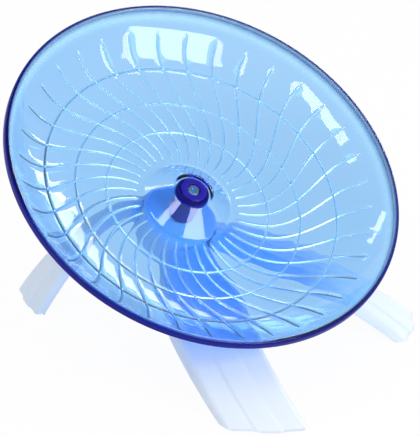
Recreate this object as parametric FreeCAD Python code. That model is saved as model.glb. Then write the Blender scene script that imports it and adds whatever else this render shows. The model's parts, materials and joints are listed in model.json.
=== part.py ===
import FreeCAD, Part
import math
import os

V = FreeCAD.Vector

# Small animal running disc: a clear dish that spins on a leaning axle over a three-legged stand.
# Sizes are in millimetres and angles in degrees. The ground is z = 0 and the axle leans towards -Y.
# In the axle's own frame the origin is the middle of the dish floor and +Z runs up the axle.

# Stance
pivot_height = 64.0        # middle of the dish floor above the ground
tilt_angle = 33.0          # lean of the axle from the upright

# Dish
disc_radius = 90.0
dish_depth = 24.9          # from the rim down to the floor
floor_radius = 36.0        # flat part of the floor
disc_wall = 2.2
rim_width = 2.0            # width of the rounded lip
rim_edge = 1.2             # height of the lip's outer rounding
dome_foot_radius = 21.5    # where the dome's side runs out into the floor
dome_top_radius = 7.8      # where it leaves the flat top
dome_height = 8.7
dome_round = 3.0           # rounding of the dome's shoulder and foot

# Ribs on the running face
rib_width = 1.1
rib_height = 0.6
rib_root = 0.4             # depth that a round rib is sunk into the wall
ring_rib_radii = (37.3, 51.9, 67.2)
grip_rib_count = 36
grip_rib_inner_radius = 23.0
grip_rib_outer_radius = 81.0
grip_rib_root = 0.7        # depth that a swirling rib is sunk into the wall
grip_rib_stations = 6
grip_turn_angle = 25.5     # turn of a swirling rib between its ends
grip_turn_start_radius = 22.0
grip_turn_end_radius = 77.0
grip_first_angle = 2.45    # direction of the first rib's outer end

# Hub barrel, a separate moulding that is bonded into the dome
barrel_wall = 0.9
barrel_collar_radius = 7.6 # collar that the dome's flat top rests on
barrel_collar_height = 1.2
barrel_drop = 8.0          # length below the dish floor
shoulder_step = 0.7        # inner ledge that both bearings seat against
bearing_inset = 0.7        # lower bearing's depth inside the barrel

# Ball bearings
bearing_bore_radius = 2.52
bearing_outer_radius = 5.0
bearing_width = 4.0
ball_radius = 0.75
ball_pitch_radius = 3.76
ball_count = 9
ball_play = 0.06           # gap between a ball and its grooves
land_gap = 0.46            # half of the gap between the two races
cage_width = 0.58
cage_height = 2.2
shield_thickness = 0.2
shield_inset = 0.06
shield_gap = 0.16

# Axle stack
axle_radius = 2.5
axle_head_radius = 4.5
axle_head_height = 2.4
axle_top_step = 0.2        # axle end below the face of the upper inner race
axle_thread_radius = 1.5
axle_thread_depth = 7.0
spacer_wall = 0.7
collar_wall = 1.1
washer_radius = 3.3
washer_thickness = 0.5
screw_head_radius = 2.6
screw_head_height = 1.7
screw_edge = 0.3
screw_socket_radius = 1.0
screw_socket_depth = 0.9
screw_end_room = 1.0       # left below the screw in its threaded hole

# Hub cap
cap_flange = 0.8
cap_plug_depth = 1.5
cap_plug_wall = 1.0
cap_hole_radius = 3.0
cap_edge = 0.3

# Stand crown
crown_gap = 1.2            # from the barrel's end to the crown
crown_radius = 17.0
crown_height = 15.0
crown_chamfer = 1.5
crown_recess = 3.0

# Legs: direction from the low side of the disc, reach from the crown's middle to the foot, sideways bow,
# lift of the root above the crown's middle, slope of the root, and roll of the foot about the leg's own line
front_left_direction_angle = -14.0
front_left_reach = 106.4
front_left_bow = -5.4
front_left_root_lift = -4.0
front_left_root_slope_angle = 22.0
front_left_roll_angle = 20.0
front_right_direction_angle = 52.0
front_right_reach = 104.9
front_right_bow = 10.1
front_right_root_lift = 0.5
front_right_root_slope_angle = 24.0
front_right_roll_angle = -8.8
rear_direction_angle = -144.5
rear_reach = 71.1
rear_bow = -12.0
rear_root_lift = 10.0
rear_root_slope_angle = 26.0
rear_roll_angle = 1.5

# Leg sections
leg_root_radius = 12.0     # where the leg's middle line starts, from the crown's middle
leg_neck_width = 17.0      # width of the top panel where it leaves the crown
leg_neck_share = 0.35      # share of the arch over which the neck widens
leg_width = 32.0           # width of the top panel past the neck
leg_foot_width = 28.5
leg_flare = 4.0            # how far each side flange spreads at the root
foot_flare = 1.5
leg_flange = 8.0           # depth of the side flanges at the root
foot_flange = 3.0
leg_wall = 2.4
leg_panel_rise = 0.8       # step of the raised middle panel
leg_panel_share = 0.33     # share of the width that the middle panel takes
leg_step_width = 1.2
leg_stations = 9
leg_overrun = 0.16         # share of the arch carried on below the ground before it is cut flat
leg_gap = 0.3              # between neighbouring legs beside the crown
foot_corner = 3.5          # rounding of a foot's corners
root_block_depth = 8.5
root_block_stations = 3    # sections that are filled in behind the crown
tongue_width = 12.0
tongue_height = 5.0
tongue_inner_radius = 9.0
tongue_top = -14.6         # in the axle's frame
tongue_overlap = 0.6

# Leg screws
leg_screw_radius = 1.5
leg_screw_head_radius = 2.7
leg_screw_head_height = 1.8
leg_screw_place = 12.8     # from the axle
leg_screw_end_cover = 1.2  # plastic left above the screw's end
driver_slot_width = 0.7
driver_slot_depth = 0.8

# Fits
seat_gap = 0.02            # between pieces that are pressed or clamped together
slide_gap = 0.06           # between a tongue and its pocket
screw_gap = 0.02           # between a screw and the thread that it sits in
clearance_hole_gap = 0.12
cut_margin = 40.0          # how far large cutting bodies stand clear of what they cut
hole_margin = 1.0          # how far a hole's cutting body runs past the faces it opens

# Levels along the axle, in its own frame
barrel_radius = bearing_outer_radius + seat_gap + barrel_wall
barrel_bottom = -barrel_drop
upper_bearing_top = dome_height - cap_plug_depth
upper_bearing_bottom = upper_bearing_top - bearing_width
lower_bearing_bottom = barrel_bottom + bearing_inset
lower_bearing_top = lower_bearing_bottom + bearing_width
crown_top = barrel_bottom - crown_gap
crown_bottom = crown_top - crown_height
crown_middle = (crown_top + crown_bottom) / 2.0
arch_radius = ((disc_radius - floor_radius) ** 2 + dish_depth ** 2) / (2.0 * dish_depth)

crown_level = pivot_height + crown_middle * math.cos(math.radians(tilt_angle))

leg_plans = {
    "front_left_leg": {
        "direction": front_left_direction_angle,
        "reach": front_left_reach,
        "bow": front_left_bow,
        "root_height": crown_level + front_left_root_lift,
        "root_slope": front_left_root_slope_angle,
        "roll": front_left_roll_angle,
    },
    "front_right_leg": {
        "direction": front_right_direction_angle,
        "reach": front_right_reach,
        "bow": front_right_bow,
        "root_height": crown_level + front_right_root_lift,
        "root_slope": front_right_root_slope_angle,
        "roll": front_right_roll_angle,
    },
    "rear_leg": {
        "direction": rear_direction_angle,
        "reach": rear_reach,
        "bow": rear_bow,
        "root_height": crown_level + rear_root_lift,
        "root_slope": rear_root_slope_angle,
        "roll": rear_roll_angle,
    },
}


def on_axle(shape):
    """Take a shape from the axle's frame to its leaning place above the ground."""
    placed = shape.copy()
    lean = FreeCAD.Rotation(V(1, 0, 0), tilt_angle)
    placed.Placement = FreeCAD.Placement(V(0, 0, pivot_height), lean).multiply(placed.Placement)
    return placed


def axle_point(x, y, z):
    """Ground-frame point of a place given in the axle's frame."""
    lean = FreeCAD.Rotation(V(1, 0, 0), tilt_angle)
    return lean.multVec(V(x, y, z)) + V(0, 0, pivot_height)


def cylinder(radius, low, high):
    return Part.makeCylinder(radius, high - low, V(0, 0, low))


def ring(outer, inner, low, high):
    return cylinder(outer, low, high).cut(cylinder(inner, low - hole_margin, high + hole_margin))


def torus(major, minor, level):
    return Part.makeTorus(major, minor, V(0, 0, level))


def line(start, end):
    return Part.LineSegment(V(start[0], 0, start[1]), V(end[0], 0, end[1])).toShape()


def bend(start, middle, end):
    return Part.Arc(V(start[0], 0, start[1]), V(middle[0], 0, middle[1]), V(end[0], 0, end[1])).toShape()


def turned(edges):
    """Solid of revolution about the axle from edges drawn in its half plane."""
    return Part.Face(Part.Wire(edges)).revolve(V(0, 0, 0), V(0, 0, 1), 360)


def wall_point(radius, depth):
    """Point of the curved wall at a radius, a depth below the running face."""
    reach = arch_radius + depth
    level = arch_radius - math.sqrt(reach ** 2 - (radius - floor_radius) ** 2)
    return (radius, level)


def wall_arc(start, end, depth):
    return bend(wall_point(start, depth), wall_point((start + end) / 2.0, depth), wall_point(end, depth))


def dome_side(depth):
    """Straight flank with a rounded shoulder and foot, from the flat top to the floor, a depth below its face."""
    run = dome_foot_radius - dome_top_radius
    fall = dome_height - 2.0 * dome_round
    turn = math.atan2(fall, run) + math.asin(2.0 * dome_round / math.hypot(run, fall))
    upper = dome_round - depth
    lower = dome_round + depth
    shoulder = [(dome_top_radius + upper * math.sin(turn * share),
                 dome_height - dome_round + upper * math.cos(turn * share)) for share in (0.0, 0.5, 1.0)]
    foot = [(dome_foot_radius - lower * math.sin(turn * share),
             dome_round - lower * math.cos(turn * share)) for share in (1.0, 0.5, 0.0)]
    return [bend(*shoulder), line(shoulder[-1], foot[0]), bend(*foot)]


def dish_shell():
    """Floor, curved wall and rounded lip, with the dome and its hole in the middle."""
    hole = barrel_radius + seat_gap
    lip_inner = wall_point(disc_radius - rim_width, 0.0)
    lip_top = (disc_radius - rim_width / 2.0, dish_depth)
    lip_outer = (disc_radius, dish_depth - rim_edge)
    wall_end = wall_point(disc_radius - rim_edge / 2.0, disc_wall)
    lip_low = (disc_radius, wall_end[1] + rim_edge / 2.0)
    edges = [
        line((hole, dome_height), (dome_top_radius, dome_height)),
        *dome_side(0.0),
        line((dome_foot_radius, 0.0), (floor_radius, 0.0)),
        wall_arc(floor_radius, disc_radius - rim_width, 0.0),
        bend(lip_inner, lip_top, lip_outer),
        line(lip_outer, lip_low),
        line(lip_low, wall_end),
        wall_arc(disc_radius - rim_edge / 2.0, floor_radius, disc_wall),
        line((floor_radius, -disc_wall), (dome_foot_radius, -disc_wall)),
        *reversed(dome_side(disc_wall)),
        line((dome_top_radius, dome_height - disc_wall), (hole, dome_height - disc_wall)),
        line((hole, dome_height - disc_wall), (hole, dome_height)),
    ]
    return turned(edges)


def rib_layer():
    """Layer that follows the running face: from inside the wall to the tops of the ribs."""
    inner = dome_foot_radius
    outer = ring_rib_radii[-1] + rib_width
    top_inner = (inner, rib_height)
    low_inner = (inner, -rib_root)
    top_outer = wall_point(outer, -rib_height)
    low_outer = wall_point(outer, rib_root)
    return turned([
        line(low_inner, top_inner),
        line(top_inner, (floor_radius, rib_height)),
        wall_arc(floor_radius, outer, -rib_height),
        line(top_outer, low_outer),
        wall_arc(outer, floor_radius, rib_root),
        line((floor_radius, -rib_root), low_inner),
    ])


def ring_ribs():
    """Round ribs, each cut from the layer that follows the running face."""
    layer = rib_layer()
    low = -rib_root - hole_margin
    high = dish_depth + rib_height
    half = rib_width / 2.0
    return [ring(radius + half, radius - half, low, high).common(layer) for radius in ring_rib_radii]


def grip_angle(radius):
    """Direction of a swirling rib at a radius: half a cosine wave, so the rib is radial at both ends."""
    share = (radius - grip_turn_start_radius) / (grip_turn_end_radius - grip_turn_start_radius)
    share = min(max(share, 0.0), 1.0)
    return math.radians(grip_first_angle - grip_turn_angle * (1.0 + math.cos(math.pi * share)) / 2.0)


def grip_sections():
    """Upright cross-sections of one swirling rib, mitred where its straight pieces meet."""
    step = (grip_rib_outer_radius - grip_rib_inner_radius) / (grip_rib_stations - 1)
    radii = [grip_rib_inner_radius + step * number for number in range(grip_rib_stations)]
    spots = [V(r * math.cos(grip_angle(r)), r * math.sin(grip_angle(r)), 0) for r in radii]
    ways = [(after - before).normalize() for before, after in zip(spots, spots[1:])]
    sections = []
    for number, spot in enumerate(spots):
        before = ways[max(number - 1, 0)]
        after = ways[min(number, len(ways) - 1)]
        mitre = V(0, 0, 1).cross(before + after).normalize()
        offset = mitre * (rib_width / 2.0 / mitre.dot(V(0, 0, 1).cross(before)))
        level = wall_point(max(radii[number], floor_radius), 0.0)[1]
        top = spot + V(0, 0, level + rib_height)
        low = spot + V(0, 0, level - grip_rib_root)
        sections.append([top + offset, top - offset, low - offset, low + offset])
    return sections


def flat_face(corners):
    return Part.Face(Part.makePolygon(corners + corners[:1]))


def grip_ribs():
    """Swirling ribs, each a chain of straight pieces with upright sides."""
    sections = grip_sections()
    faces = [flat_face(sections[0]), flat_face(sections[-1])]
    for near, far in zip(sections, sections[1:]):
        for first, second in ((1, 2), (3, 0)):
            faces.append(flat_face([near[first], near[second], far[second], far[first]]))
        for first, second in ((0, 1), (2, 3)):
            faces.append(flat_face([near[first], near[second], far[second]]))
            faces.append(flat_face([near[first], far[second], far[first]]))
    rib = Part.makeSolid(Part.makeShell(faces))
    ribs = []
    for number in range(grip_rib_count):
        turned_rib = rib.copy()
        turned_rib.rotate(V(0, 0, 0), V(0, 0, 1), 360.0 * number / grip_rib_count)
        ribs.append(turned_rib)
    return ribs


def running_disc():
    return dish_shell().multiFuse(ring_ribs()).multiFuse(grip_ribs()).removeSplitter()


def hub_barrel():
    """Tube for the two bearings, with a ledge between them and a collar under the dome."""
    bore = barrel_radius - barrel_wall
    collar_top = dome_height - disc_wall - seat_gap
    tube = cylinder(barrel_radius, barrel_bottom, dome_height)
    tube = tube.fuse(cylinder(barrel_collar_radius, collar_top - barrel_collar_height, collar_top))
    upper = cylinder(bore, upper_bearing_bottom, dome_height + hole_margin)
    lower = cylinder(bore, barrel_bottom - hole_margin, lower_bearing_top)
    middle = cylinder(bearing_outer_radius - shoulder_step, barrel_bottom, dome_height)
    return tube.cut(upper.fuse(lower).fuse(middle)).removeSplitter()


def hub_cap():
    """Cap ring pressed into the top of the barrel; the screw head shows through its hole."""
    top = dome_height + cap_flange
    plug_outer = bearing_outer_radius
    flange = cylinder(barrel_radius, dome_height, top)
    top_edge = [edge for edge in flange.Edges if edge.BoundBox.ZMin > dome_height + cap_flange / 2.0]
    flange = flange.makeChamfer(cap_edge, top_edge)
    plug = ring(plug_outer, plug_outer - cap_plug_wall, dome_height - cap_plug_depth, dome_height)
    return flange.cut(cylinder(cap_hole_radius, dome_height - hole_margin, top + hole_margin)).fuse(plug)


def bearing(bottom):
    """One shielded ball bearing as its separate pieces."""
    top = bottom + bearing_width
    middle = (bottom + top) / 2.0
    land_inner = ball_pitch_radius - land_gap
    land_outer = ball_pitch_radius + land_gap
    groove = torus(ball_pitch_radius, ball_radius + ball_play, middle)
    balls = []
    pockets = []
    for number in range(ball_count):
        angle = 2.0 * math.pi * number / ball_count
        place = V(ball_pitch_radius * math.cos(angle), ball_pitch_radius * math.sin(angle), middle)
        balls.append(Part.makeSphere(ball_radius, place))
        outward = V(math.cos(angle), math.sin(angle), 0)
        pockets.append(Part.makeCylinder(ball_radius + ball_play, 2.0 * cage_width,
                                         place - outward * cage_width, outward))
    cage = ring(ball_pitch_radius + cage_width / 2.0, ball_pitch_radius - cage_width / 2.0,
                middle - cage_height / 2.0, middle + cage_height / 2.0)
    shields = []
    for low in (bottom + shield_inset, top - shield_inset - shield_thickness):
        shields.append(ring(land_outer - seat_gap, land_inner + shield_gap, low, low + shield_thickness))
    return {
        "outer_race": ring(bearing_outer_radius, land_outer, bottom, top).cut(groove),
        "inner_race": ring(land_inner, bearing_bore_radius, bottom, top).cut(groove),
        "balls": Part.makeCompound(balls),
        "cage": cage.cut(Part.makeCompound(pockets)),
        "shields": Part.makeCompound(shields),
    }


def axle():
    """Steel pin with a head under the crown and a threaded hole in its upper end."""
    top = upper_bearing_top - axle_top_step
    head_top = crown_bottom + crown_recess
    shank = cylinder(axle_radius, head_top, top)
    head = cylinder(axle_head_radius, head_top - axle_head_height, head_top)
    thread = cylinder(axle_thread_radius + screw_gap, top - axle_thread_depth, top + hole_margin)
    return shank.fuse(head).cut(thread)


def axle_screw():
    """Socket screw in the axle's upper end."""
    seat = upper_bearing_top + washer_thickness
    shank_end = upper_bearing_top - axle_top_step - axle_thread_depth + screw_end_room
    head = cylinder(screw_head_radius, seat, seat + screw_head_height)
    top_edge = [edge for edge in head.Edges if edge.BoundBox.ZMin > seat + screw_head_height / 2.0]
    head = head.makeChamfer(screw_edge, top_edge)
    socket = Part.makePolygon([V(screw_socket_radius * math.cos(math.pi * i / 3.0),
                                 screw_socket_radius * math.sin(math.pi * i / 3.0),
                                 seat + screw_head_height - screw_socket_depth) for i in range(7)])
    socket = Part.Face(socket).extrude(V(0, 0, screw_socket_depth + hole_margin))
    return head.fuse(cylinder(axle_thread_radius, shank_end, seat)).cut(socket)


def axle_washer():
    return ring(washer_radius, axle_thread_radius + clearance_hole_gap,
                upper_bearing_top, upper_bearing_top + washer_thickness)


def bearing_spacer():
    inner = axle_radius + seat_gap
    return ring(inner + spacer_wall, inner, lower_bearing_top, upper_bearing_bottom)


def thrust_collar():
    inner = axle_radius + seat_gap
    return ring(inner + collar_wall, inner, crown_top, lower_bearing_bottom)


def ground_heading(direction):
    """Level unit vector at an angle from the low side of the disc."""
    angle = math.radians(direction)
    return V(math.sin(angle), -math.cos(angle), 0)


def axle_heading(direction):
    """The same direction laid into the plane across the axle, in the axle's frame."""
    lean = FreeCAD.Rotation(V(1, 0, 0), -tilt_angle)
    local = lean.multVec(ground_heading(direction))
    return V(local.x, local.y, 0).normalize()


def leg_point(plan, share):
    """Point of a leg's middle line: an arc down to the foot at share 1, bowed sideways between its ends."""
    run = plan["reach"] - leg_root_radius
    chord_angle = math.atan2(plan["root_height"], run)
    first = math.radians(plan["root_slope"])
    half_turn = chord_angle - first
    radius = math.hypot(run, plan["root_height"]) / (2.0 * math.sin(half_turn))
    angle = first + 2.0 * half_turn * share
    away = radius * (math.sin(angle) - math.sin(first))
    height = plan["root_height"] + radius * (math.cos(angle) - math.cos(first))
    drift = plan["bow"] * 4.0 * (away / run) * (1.0 - away / run)
    out = ground_heading(plan["direction"])
    side = V(-out.y, out.x, 0)
    centre = axle_point(0, 0, crown_middle)
    return V(centre.x, centre.y, height) + out * (leg_root_radius + away) + side * drift


def leg_frame(plan, share):
    """Place, sideways vector, upward normal and heading at a share of a leg, rolled towards its foot."""
    nudge = 0.01
    place = leg_point(plan, share)
    along = (leg_point(plan, share + nudge) - leg_point(plan, share - nudge)).normalize()
    side = V(0, 0, 1).cross(along).normalize()
    roll = FreeCAD.Rotation(along, plan["roll"] * share)
    side = roll.multVec(side)
    return place, side, along.cross(side), along


def leg_half_width(share):
    """Half the top panel's width: a neck at the crown that widens, then a slow taper to the foot."""
    grown = min(max(share / leg_neck_share, 0.0), 1.0)
    grown = grown * grown * (3.0 - 2.0 * grown)
    full = leg_width + (leg_foot_width - leg_width) * share
    return (leg_neck_width * (1.0 - grown) + full * grown) / 2.0


def section(frame, corners):
    place, side, normal = frame[:3]
    points = [place + side * across + normal * up for across, up in corners]
    return Part.makePolygon(points + points[:1])


def channel_corners(share):
    """Open channel with flared flanges and a raised middle panel."""
    top = leg_half_width(share)
    flare = leg_flare + (foot_flare - leg_flare) * share
    flange = leg_flange + (foot_flange - leg_flange) * share
    low = top + flare
    step_out = top * leg_panel_share + leg_step_width / 2.0
    step_in = top * leg_panel_share - leg_step_width / 2.0
    lean = flare / flange
    inner_top = top - leg_wall * (math.hypot(1.0, lean) - lean)
    inner_low = low - leg_wall * math.hypot(1.0, lean)
    half = [(step_in, leg_panel_rise), (step_out, 0.0), (top, 0.0), (low, -flange),
            (inner_low, -flange), (inner_top, -leg_wall)]
    return half + [(-across, up) for across, up in reversed(half)]


def block_corners(share):
    """Filled section behind the crown."""
    top = leg_half_width(share) - leg_wall
    low = -root_block_depth
    high = -leg_wall / 2.0
    return [(top, high), (top, low), (-top, low), (-top, high)]


def foot_corners(plan):
    """Two bodies that round off the corners of a foot, each where its own side meets the ground."""
    place, side, normal, along = leg_frame(plan, 1.0)
    half = leg_half_width(1.0) + foot_flare
    tools = []
    for sign in (1.0, -1.0):
        edge = place + side * (sign * (half - foot_corner))
        ground = -edge.z / along.z

        def spot(across, ahead):
            return place + side * (sign * across) + along * (ground + ahead) - normal * cut_margin
        middle = foot_corner * (1.0 - math.sqrt(0.5))
        arc = Part.Arc(spot(half - foot_corner, 0.0), spot(half - middle, -middle), spot(half, -foot_corner))
        corners = [spot(half, -foot_corner), spot(half + cut_margin, -foot_corner),
                   spot(half + cut_margin, cut_margin), spot(half - foot_corner, cut_margin),
                   spot(half - foot_corner, 0.0)]
        outline = Part.Wire([arc.toShape()] + Part.makePolygon(corners).Edges)
        tools.append(Part.Face(outline).extrude(normal * (2.0 * cut_margin)))
    return Part.makeCompound(tools)


def leg_sector(name):
    """Upright wedge of room around a leg, bounded halfway to its neighbours."""
    own = leg_plans[name]["direction"]
    turns = [(plan["direction"] - own) % 360.0 for other, plan in leg_plans.items() if other != name]
    reach = leg_plans[name]["reach"] + cut_margin
    centre = axle_point(0, 0, crown_middle)
    tip = V(centre.x, centre.y, -cut_margin) + ground_heading(own) * leg_gap
    bounds = (own + (max(turns) - 360.0) / 2.0, own, own + min(turns) / 2.0)
    corners = [tip] + [tip + ground_heading(angle) * (2.0 * reach) for angle in bounds]
    return Part.Face(Part.makePolygon(corners + [tip])).extrude(V(0, 0, pivot_height + 2.0 * cut_margin))


def tongue(direction, gap):
    """Block that locks a leg into the crown, grown by a gap to make its pocket."""
    length = crown_radius + tongue_overlap - tongue_inner_radius + 2.0 * gap
    width = tongue_width + 2.0 * gap
    block = Part.makeBox(length, width, tongue_height + 2.0 * gap,
                         V(tongue_inner_radius - gap, -width / 2.0, tongue_top - tongue_height - gap))
    heading = axle_heading(direction)
    block.rotate(V(0, 0, 0), V(0, 0, 1), math.degrees(math.atan2(heading.y, heading.x)))
    return block


def screw_place(direction):
    return axle_heading(direction) * leg_screw_place


def screw_end():
    return tongue_top - leg_screw_end_cover


def stand_leg(name):
    """Arched channel leg, cut flat on the ground, with a tongue for the crown."""
    plan = leg_plans[name]
    shares = [(1.0 + leg_overrun) * number / (leg_stations - 1) for number in range(leg_stations)]
    rings = [section(leg_frame(plan, share), channel_corners(share)) for share in shares]
    channel = Part.makeLoft(rings, True)
    filled = [section(leg_frame(plan, share), block_corners(share)) for share in shares[:root_block_stations]]
    block = Part.makeLoft(filled, True)
    body = channel.cut(foot_corners(plan)).fuse(block).common(leg_sector(name))
    size = 2.0 * (plan["reach"] + cut_margin)
    ground = Part.makeBox(size, size, cut_margin, V(-size / 2.0, -size / 2.0, -cut_margin))
    crown_room = cylinder(crown_radius + seat_gap, crown_bottom - cut_margin, crown_top + cut_margin)
    body = body.cut(ground).cut(on_axle(crown_room))
    hole = Part.makeCylinder(leg_screw_radius + screw_gap, screw_end() - crown_bottom,
                             screw_place(plan["direction"]) + V(0, 0, crown_bottom))
    return body.fuse(on_axle(tongue(plan["direction"], 0.0))).cut(on_axle(hole)).removeSplitter()


def leg_screws():
    """Three slotted screws driven up through the crown into the tongues."""
    screws = []
    head_low = crown_bottom + crown_recess - leg_screw_head_height
    for plan in leg_plans.values():
        place = screw_place(plan["direction"])
        shank = Part.makeCylinder(leg_screw_radius, screw_end() - crown_bottom - crown_recess - screw_gap,
                                  place + V(0, 0, crown_bottom + crown_recess))
        head = Part.makeCylinder(leg_screw_head_radius, leg_screw_head_height, place + V(0, 0, head_low))
        slot = Part.makeBox(3.0 * leg_screw_head_radius, driver_slot_width, 2.0 * driver_slot_depth,
                            place + V(-1.5 * leg_screw_head_radius, -driver_slot_width / 2.0,
                                      head_low - driver_slot_depth))
        screws.append(shank.fuse(head).cut(slot))
    return on_axle(Part.makeCompound(screws))


def stand_crown():
    """Drum under the disc: three pockets for the legs, a bore for the axle and recesses for the heads."""
    drum = cylinder(crown_radius, crown_bottom, crown_top)
    top_edge = [edge for edge in drum.Edges if edge.BoundBox.ZMin > crown_middle]
    drum = drum.makeChamfer(crown_chamfer, top_edge)
    below = crown_bottom - hole_margin
    tools = [cylinder(axle_radius + seat_gap, below, crown_top + hole_margin),
             cylinder(axle_head_radius + clearance_hole_gap, below, crown_bottom + crown_recess)]
    for plan in leg_plans.values():
        place = screw_place(plan["direction"])
        tools.append(tongue(plan["direction"], slide_gap))
        tools.append(Part.makeCylinder(leg_screw_radius + clearance_hole_gap, screw_end() - crown_bottom,
                                       place + V(0, 0, crown_bottom)))
        tools.append(Part.makeCylinder(leg_screw_head_radius + clearance_hole_gap, crown_recess + hole_margin,
                                       place + V(0, 0, below)))
    return drum.cut(Part.makeCompound(tools))


def build():
    """Every node by name, in the ground frame."""
    nodes = {
        "running_disc": on_axle(running_disc()),
        "hub_barrel": on_axle(hub_barrel()),
        "hub_cap": on_axle(hub_cap()),
        "axle": on_axle(axle()),
        "axle_screw": on_axle(axle_screw()),
        "axle_washer": on_axle(axle_washer()),
        "bearing_spacer": on_axle(bearing_spacer()),
        "thrust_collar": on_axle(thrust_collar()),
        "stand_crown": on_axle(stand_crown()),
        "leg_screws": leg_screws(),
    }
    for name, bottom in (("upper_bearing", upper_bearing_bottom), ("lower_bearing", lower_bearing_bottom)):
        for piece, shape in bearing(bottom).items():
            nodes[name + "_" + piece] = on_axle(shape)
    for name in leg_plans:
        nodes[name] = stand_leg(name)
    return nodes


def centred(nodes):
    """Move the origin to the middle of the overall box, on the ground."""
    box = Part.makeCompound(list(nodes.values())).optimalBoundingBox()
    shift = V(-(box.XMin + box.XMax) / 2.0, -(box.YMin + box.YMax) / 2.0, 0)
    moved = {}
    for name, shape in nodes.items():
        moved[name] = shape.translated(shift)
    print("pivot of the disc:", shift + V(0, 0, pivot_height))
    return moved


os.makedirs("parts", exist_ok=True)
for node_name, solid in centred(build()).items():
    solid.exportStep("parts/" + node_name + ".step")
    print(node_name, len(solid.Solids), "solids", round(solid.Volume, 1), "mm3", solid.isValid())
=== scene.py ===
"""Looks of a small animal running disc: a clear blue dish with swirling grip ribs on a clear stand.

Sizes are millimetres. A shape turned about the axle is worked out in the axle's own frame, with its origin in
the middle of the dish floor and its third axis up the axle, and then laid into the ground frame in metres.
"""

import json
import logging
import math
from dataclasses import dataclass, field
from enum import Enum
from typing import Any, Mapping, Sequence, Union

import bpy
import numpy as np
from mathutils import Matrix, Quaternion, Vector


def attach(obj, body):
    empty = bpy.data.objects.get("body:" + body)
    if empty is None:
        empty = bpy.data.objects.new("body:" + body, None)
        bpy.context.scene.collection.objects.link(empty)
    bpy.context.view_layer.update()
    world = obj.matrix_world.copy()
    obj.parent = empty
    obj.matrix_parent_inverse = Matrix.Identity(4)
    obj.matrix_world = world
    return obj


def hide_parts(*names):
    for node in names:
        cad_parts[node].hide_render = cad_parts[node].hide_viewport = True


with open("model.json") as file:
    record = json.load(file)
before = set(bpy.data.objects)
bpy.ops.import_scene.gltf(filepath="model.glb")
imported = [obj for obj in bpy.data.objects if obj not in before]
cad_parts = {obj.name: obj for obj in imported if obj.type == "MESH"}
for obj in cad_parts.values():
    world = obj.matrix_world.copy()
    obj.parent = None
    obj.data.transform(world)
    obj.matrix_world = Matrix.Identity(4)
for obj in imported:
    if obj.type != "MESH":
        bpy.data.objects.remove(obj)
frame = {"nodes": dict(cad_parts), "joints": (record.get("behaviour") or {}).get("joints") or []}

LOG = logging.getLogger("running_disc")
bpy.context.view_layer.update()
MM = 0.001
CORNER_SHARE = 0.48

Array = np.ndarray
Colour = tuple[float, float, float]
Point = tuple[float, float]
Operand = Union["Signal", float]


class Slot(Enum):
    """Material slots of the record, and the scene's own finishes of the axle screw and the hub barrel."""

    DISH = "clear_blue_plastic"
    CAP = "navy_plastic"
    BARREL = "deep_navy_plastic"
    STAND = "clear_plastic"
    # The axle screw is plain steel; its blue colour is a painted reflection of the blue plastic round it.
    SCREW = "blued_steel"
    ZINC = "zinc_steel"
    BRIGHT = "bright_steel"
    RACE = "bearing_steel"
    BALL = "ball_steel"
    NYLON = "white_nylon"


class Body(Enum):
    """Bodies of the frame that pieces ride on."""

    STAND = "base"
    DISC = "disc"


# Frames and surfaces


@dataclass(frozen=True)
class AxleFrame:
    """Leaning frame of the axle, in millimetres.

    Attributes:
        origin: Middle of the dish floor in the ground frame.
        lean: Angle of the axle from the upright, in radians.
    """

    origin: Array
    lean: float

    @classmethod
    def of_joint(cls, joint: Mapping[str, Any]) -> "AxleFrame":
        """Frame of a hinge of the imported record.

        Args:
            joint: The hinge's entry, with its place in metres and its axis.

        Returns:
            The frame whose third axis is the hinge's axis.
        """
        axis = np.array(joint["axis"], float)
        return cls(np.array(joint["pos_m"], float) / MM, math.atan2(-axis[1], axis[2]))

    def axes(self) -> Array:
        """Rows are the frame's own axes in the ground frame."""
        c, s = math.cos(self.lean), math.sin(self.lean)
        return np.array([[1.0, 0.0, 0.0], [0.0, c, s], [0.0, -s, c]])

    def to_ground(self, points: Array) -> Array:
        """Points of the axle's frame, taken to the ground frame."""
        return points @ self.axes() + self.origin

    def from_ground(self, points: Array) -> Array:
        """Points of the ground frame, taken to the axle's frame."""
        return (points - self.origin) @ self.axes().T


AXLE = AxleFrame.of_joint(frame["joints"][0])


def smoothstep(low: float, high: float, value: Array) -> Array:
    """Rises from 0 at low to 1 at high as three squares less two cubes of the share between them."""
    share = np.clip((value - low) / (high - low), 0.0, 1.0)
    return share * share * (3.0 - 2.0 * share)


def rounded_loop(corners: Array, radii: Array, steps: int) -> Array:
    """Closed outline with rounded corners.

    Each corner becomes a quadratic curve that leaves one side and joins the next at the corner's radius from
    it: (1 - t)^2 times the first end, 2 t (1 - t) times the corner and t^2 times the second end. A corner
    takes up at most a set share of its shorter side.

    Args:
        corners: Outline corners, shape (..., corners, axes).
        radii: Rounding of each corner, shape (corners,).
        steps: Points on each corner.

    Returns:
        Points in order, shape (..., corners * steps, axes).
    """
    before = np.roll(corners, 1, axis=-2) - corners
    after = np.roll(corners, -1, axis=-2) - corners
    room_before = np.linalg.norm(before, axis=-1, keepdims=True)
    room_after = np.linalg.norm(after, axis=-1, keepdims=True)
    cut = np.minimum(radii[:, None], CORNER_SHARE * np.minimum(room_before, room_after))
    first = corners + before / room_before * cut
    last = corners + after / room_after * cut
    t = np.linspace(0.0, 1.0, steps)[:, None]
    first, bend, last = (ends[..., None, :] for ends in (first, corners, last))
    curve = (1 - t) ** 2 * first + 2 * t * (1 - t) * bend + t ** 2 * last
    return curve.reshape(*corners.shape[:-2], -1, corners.shape[-1])


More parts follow.
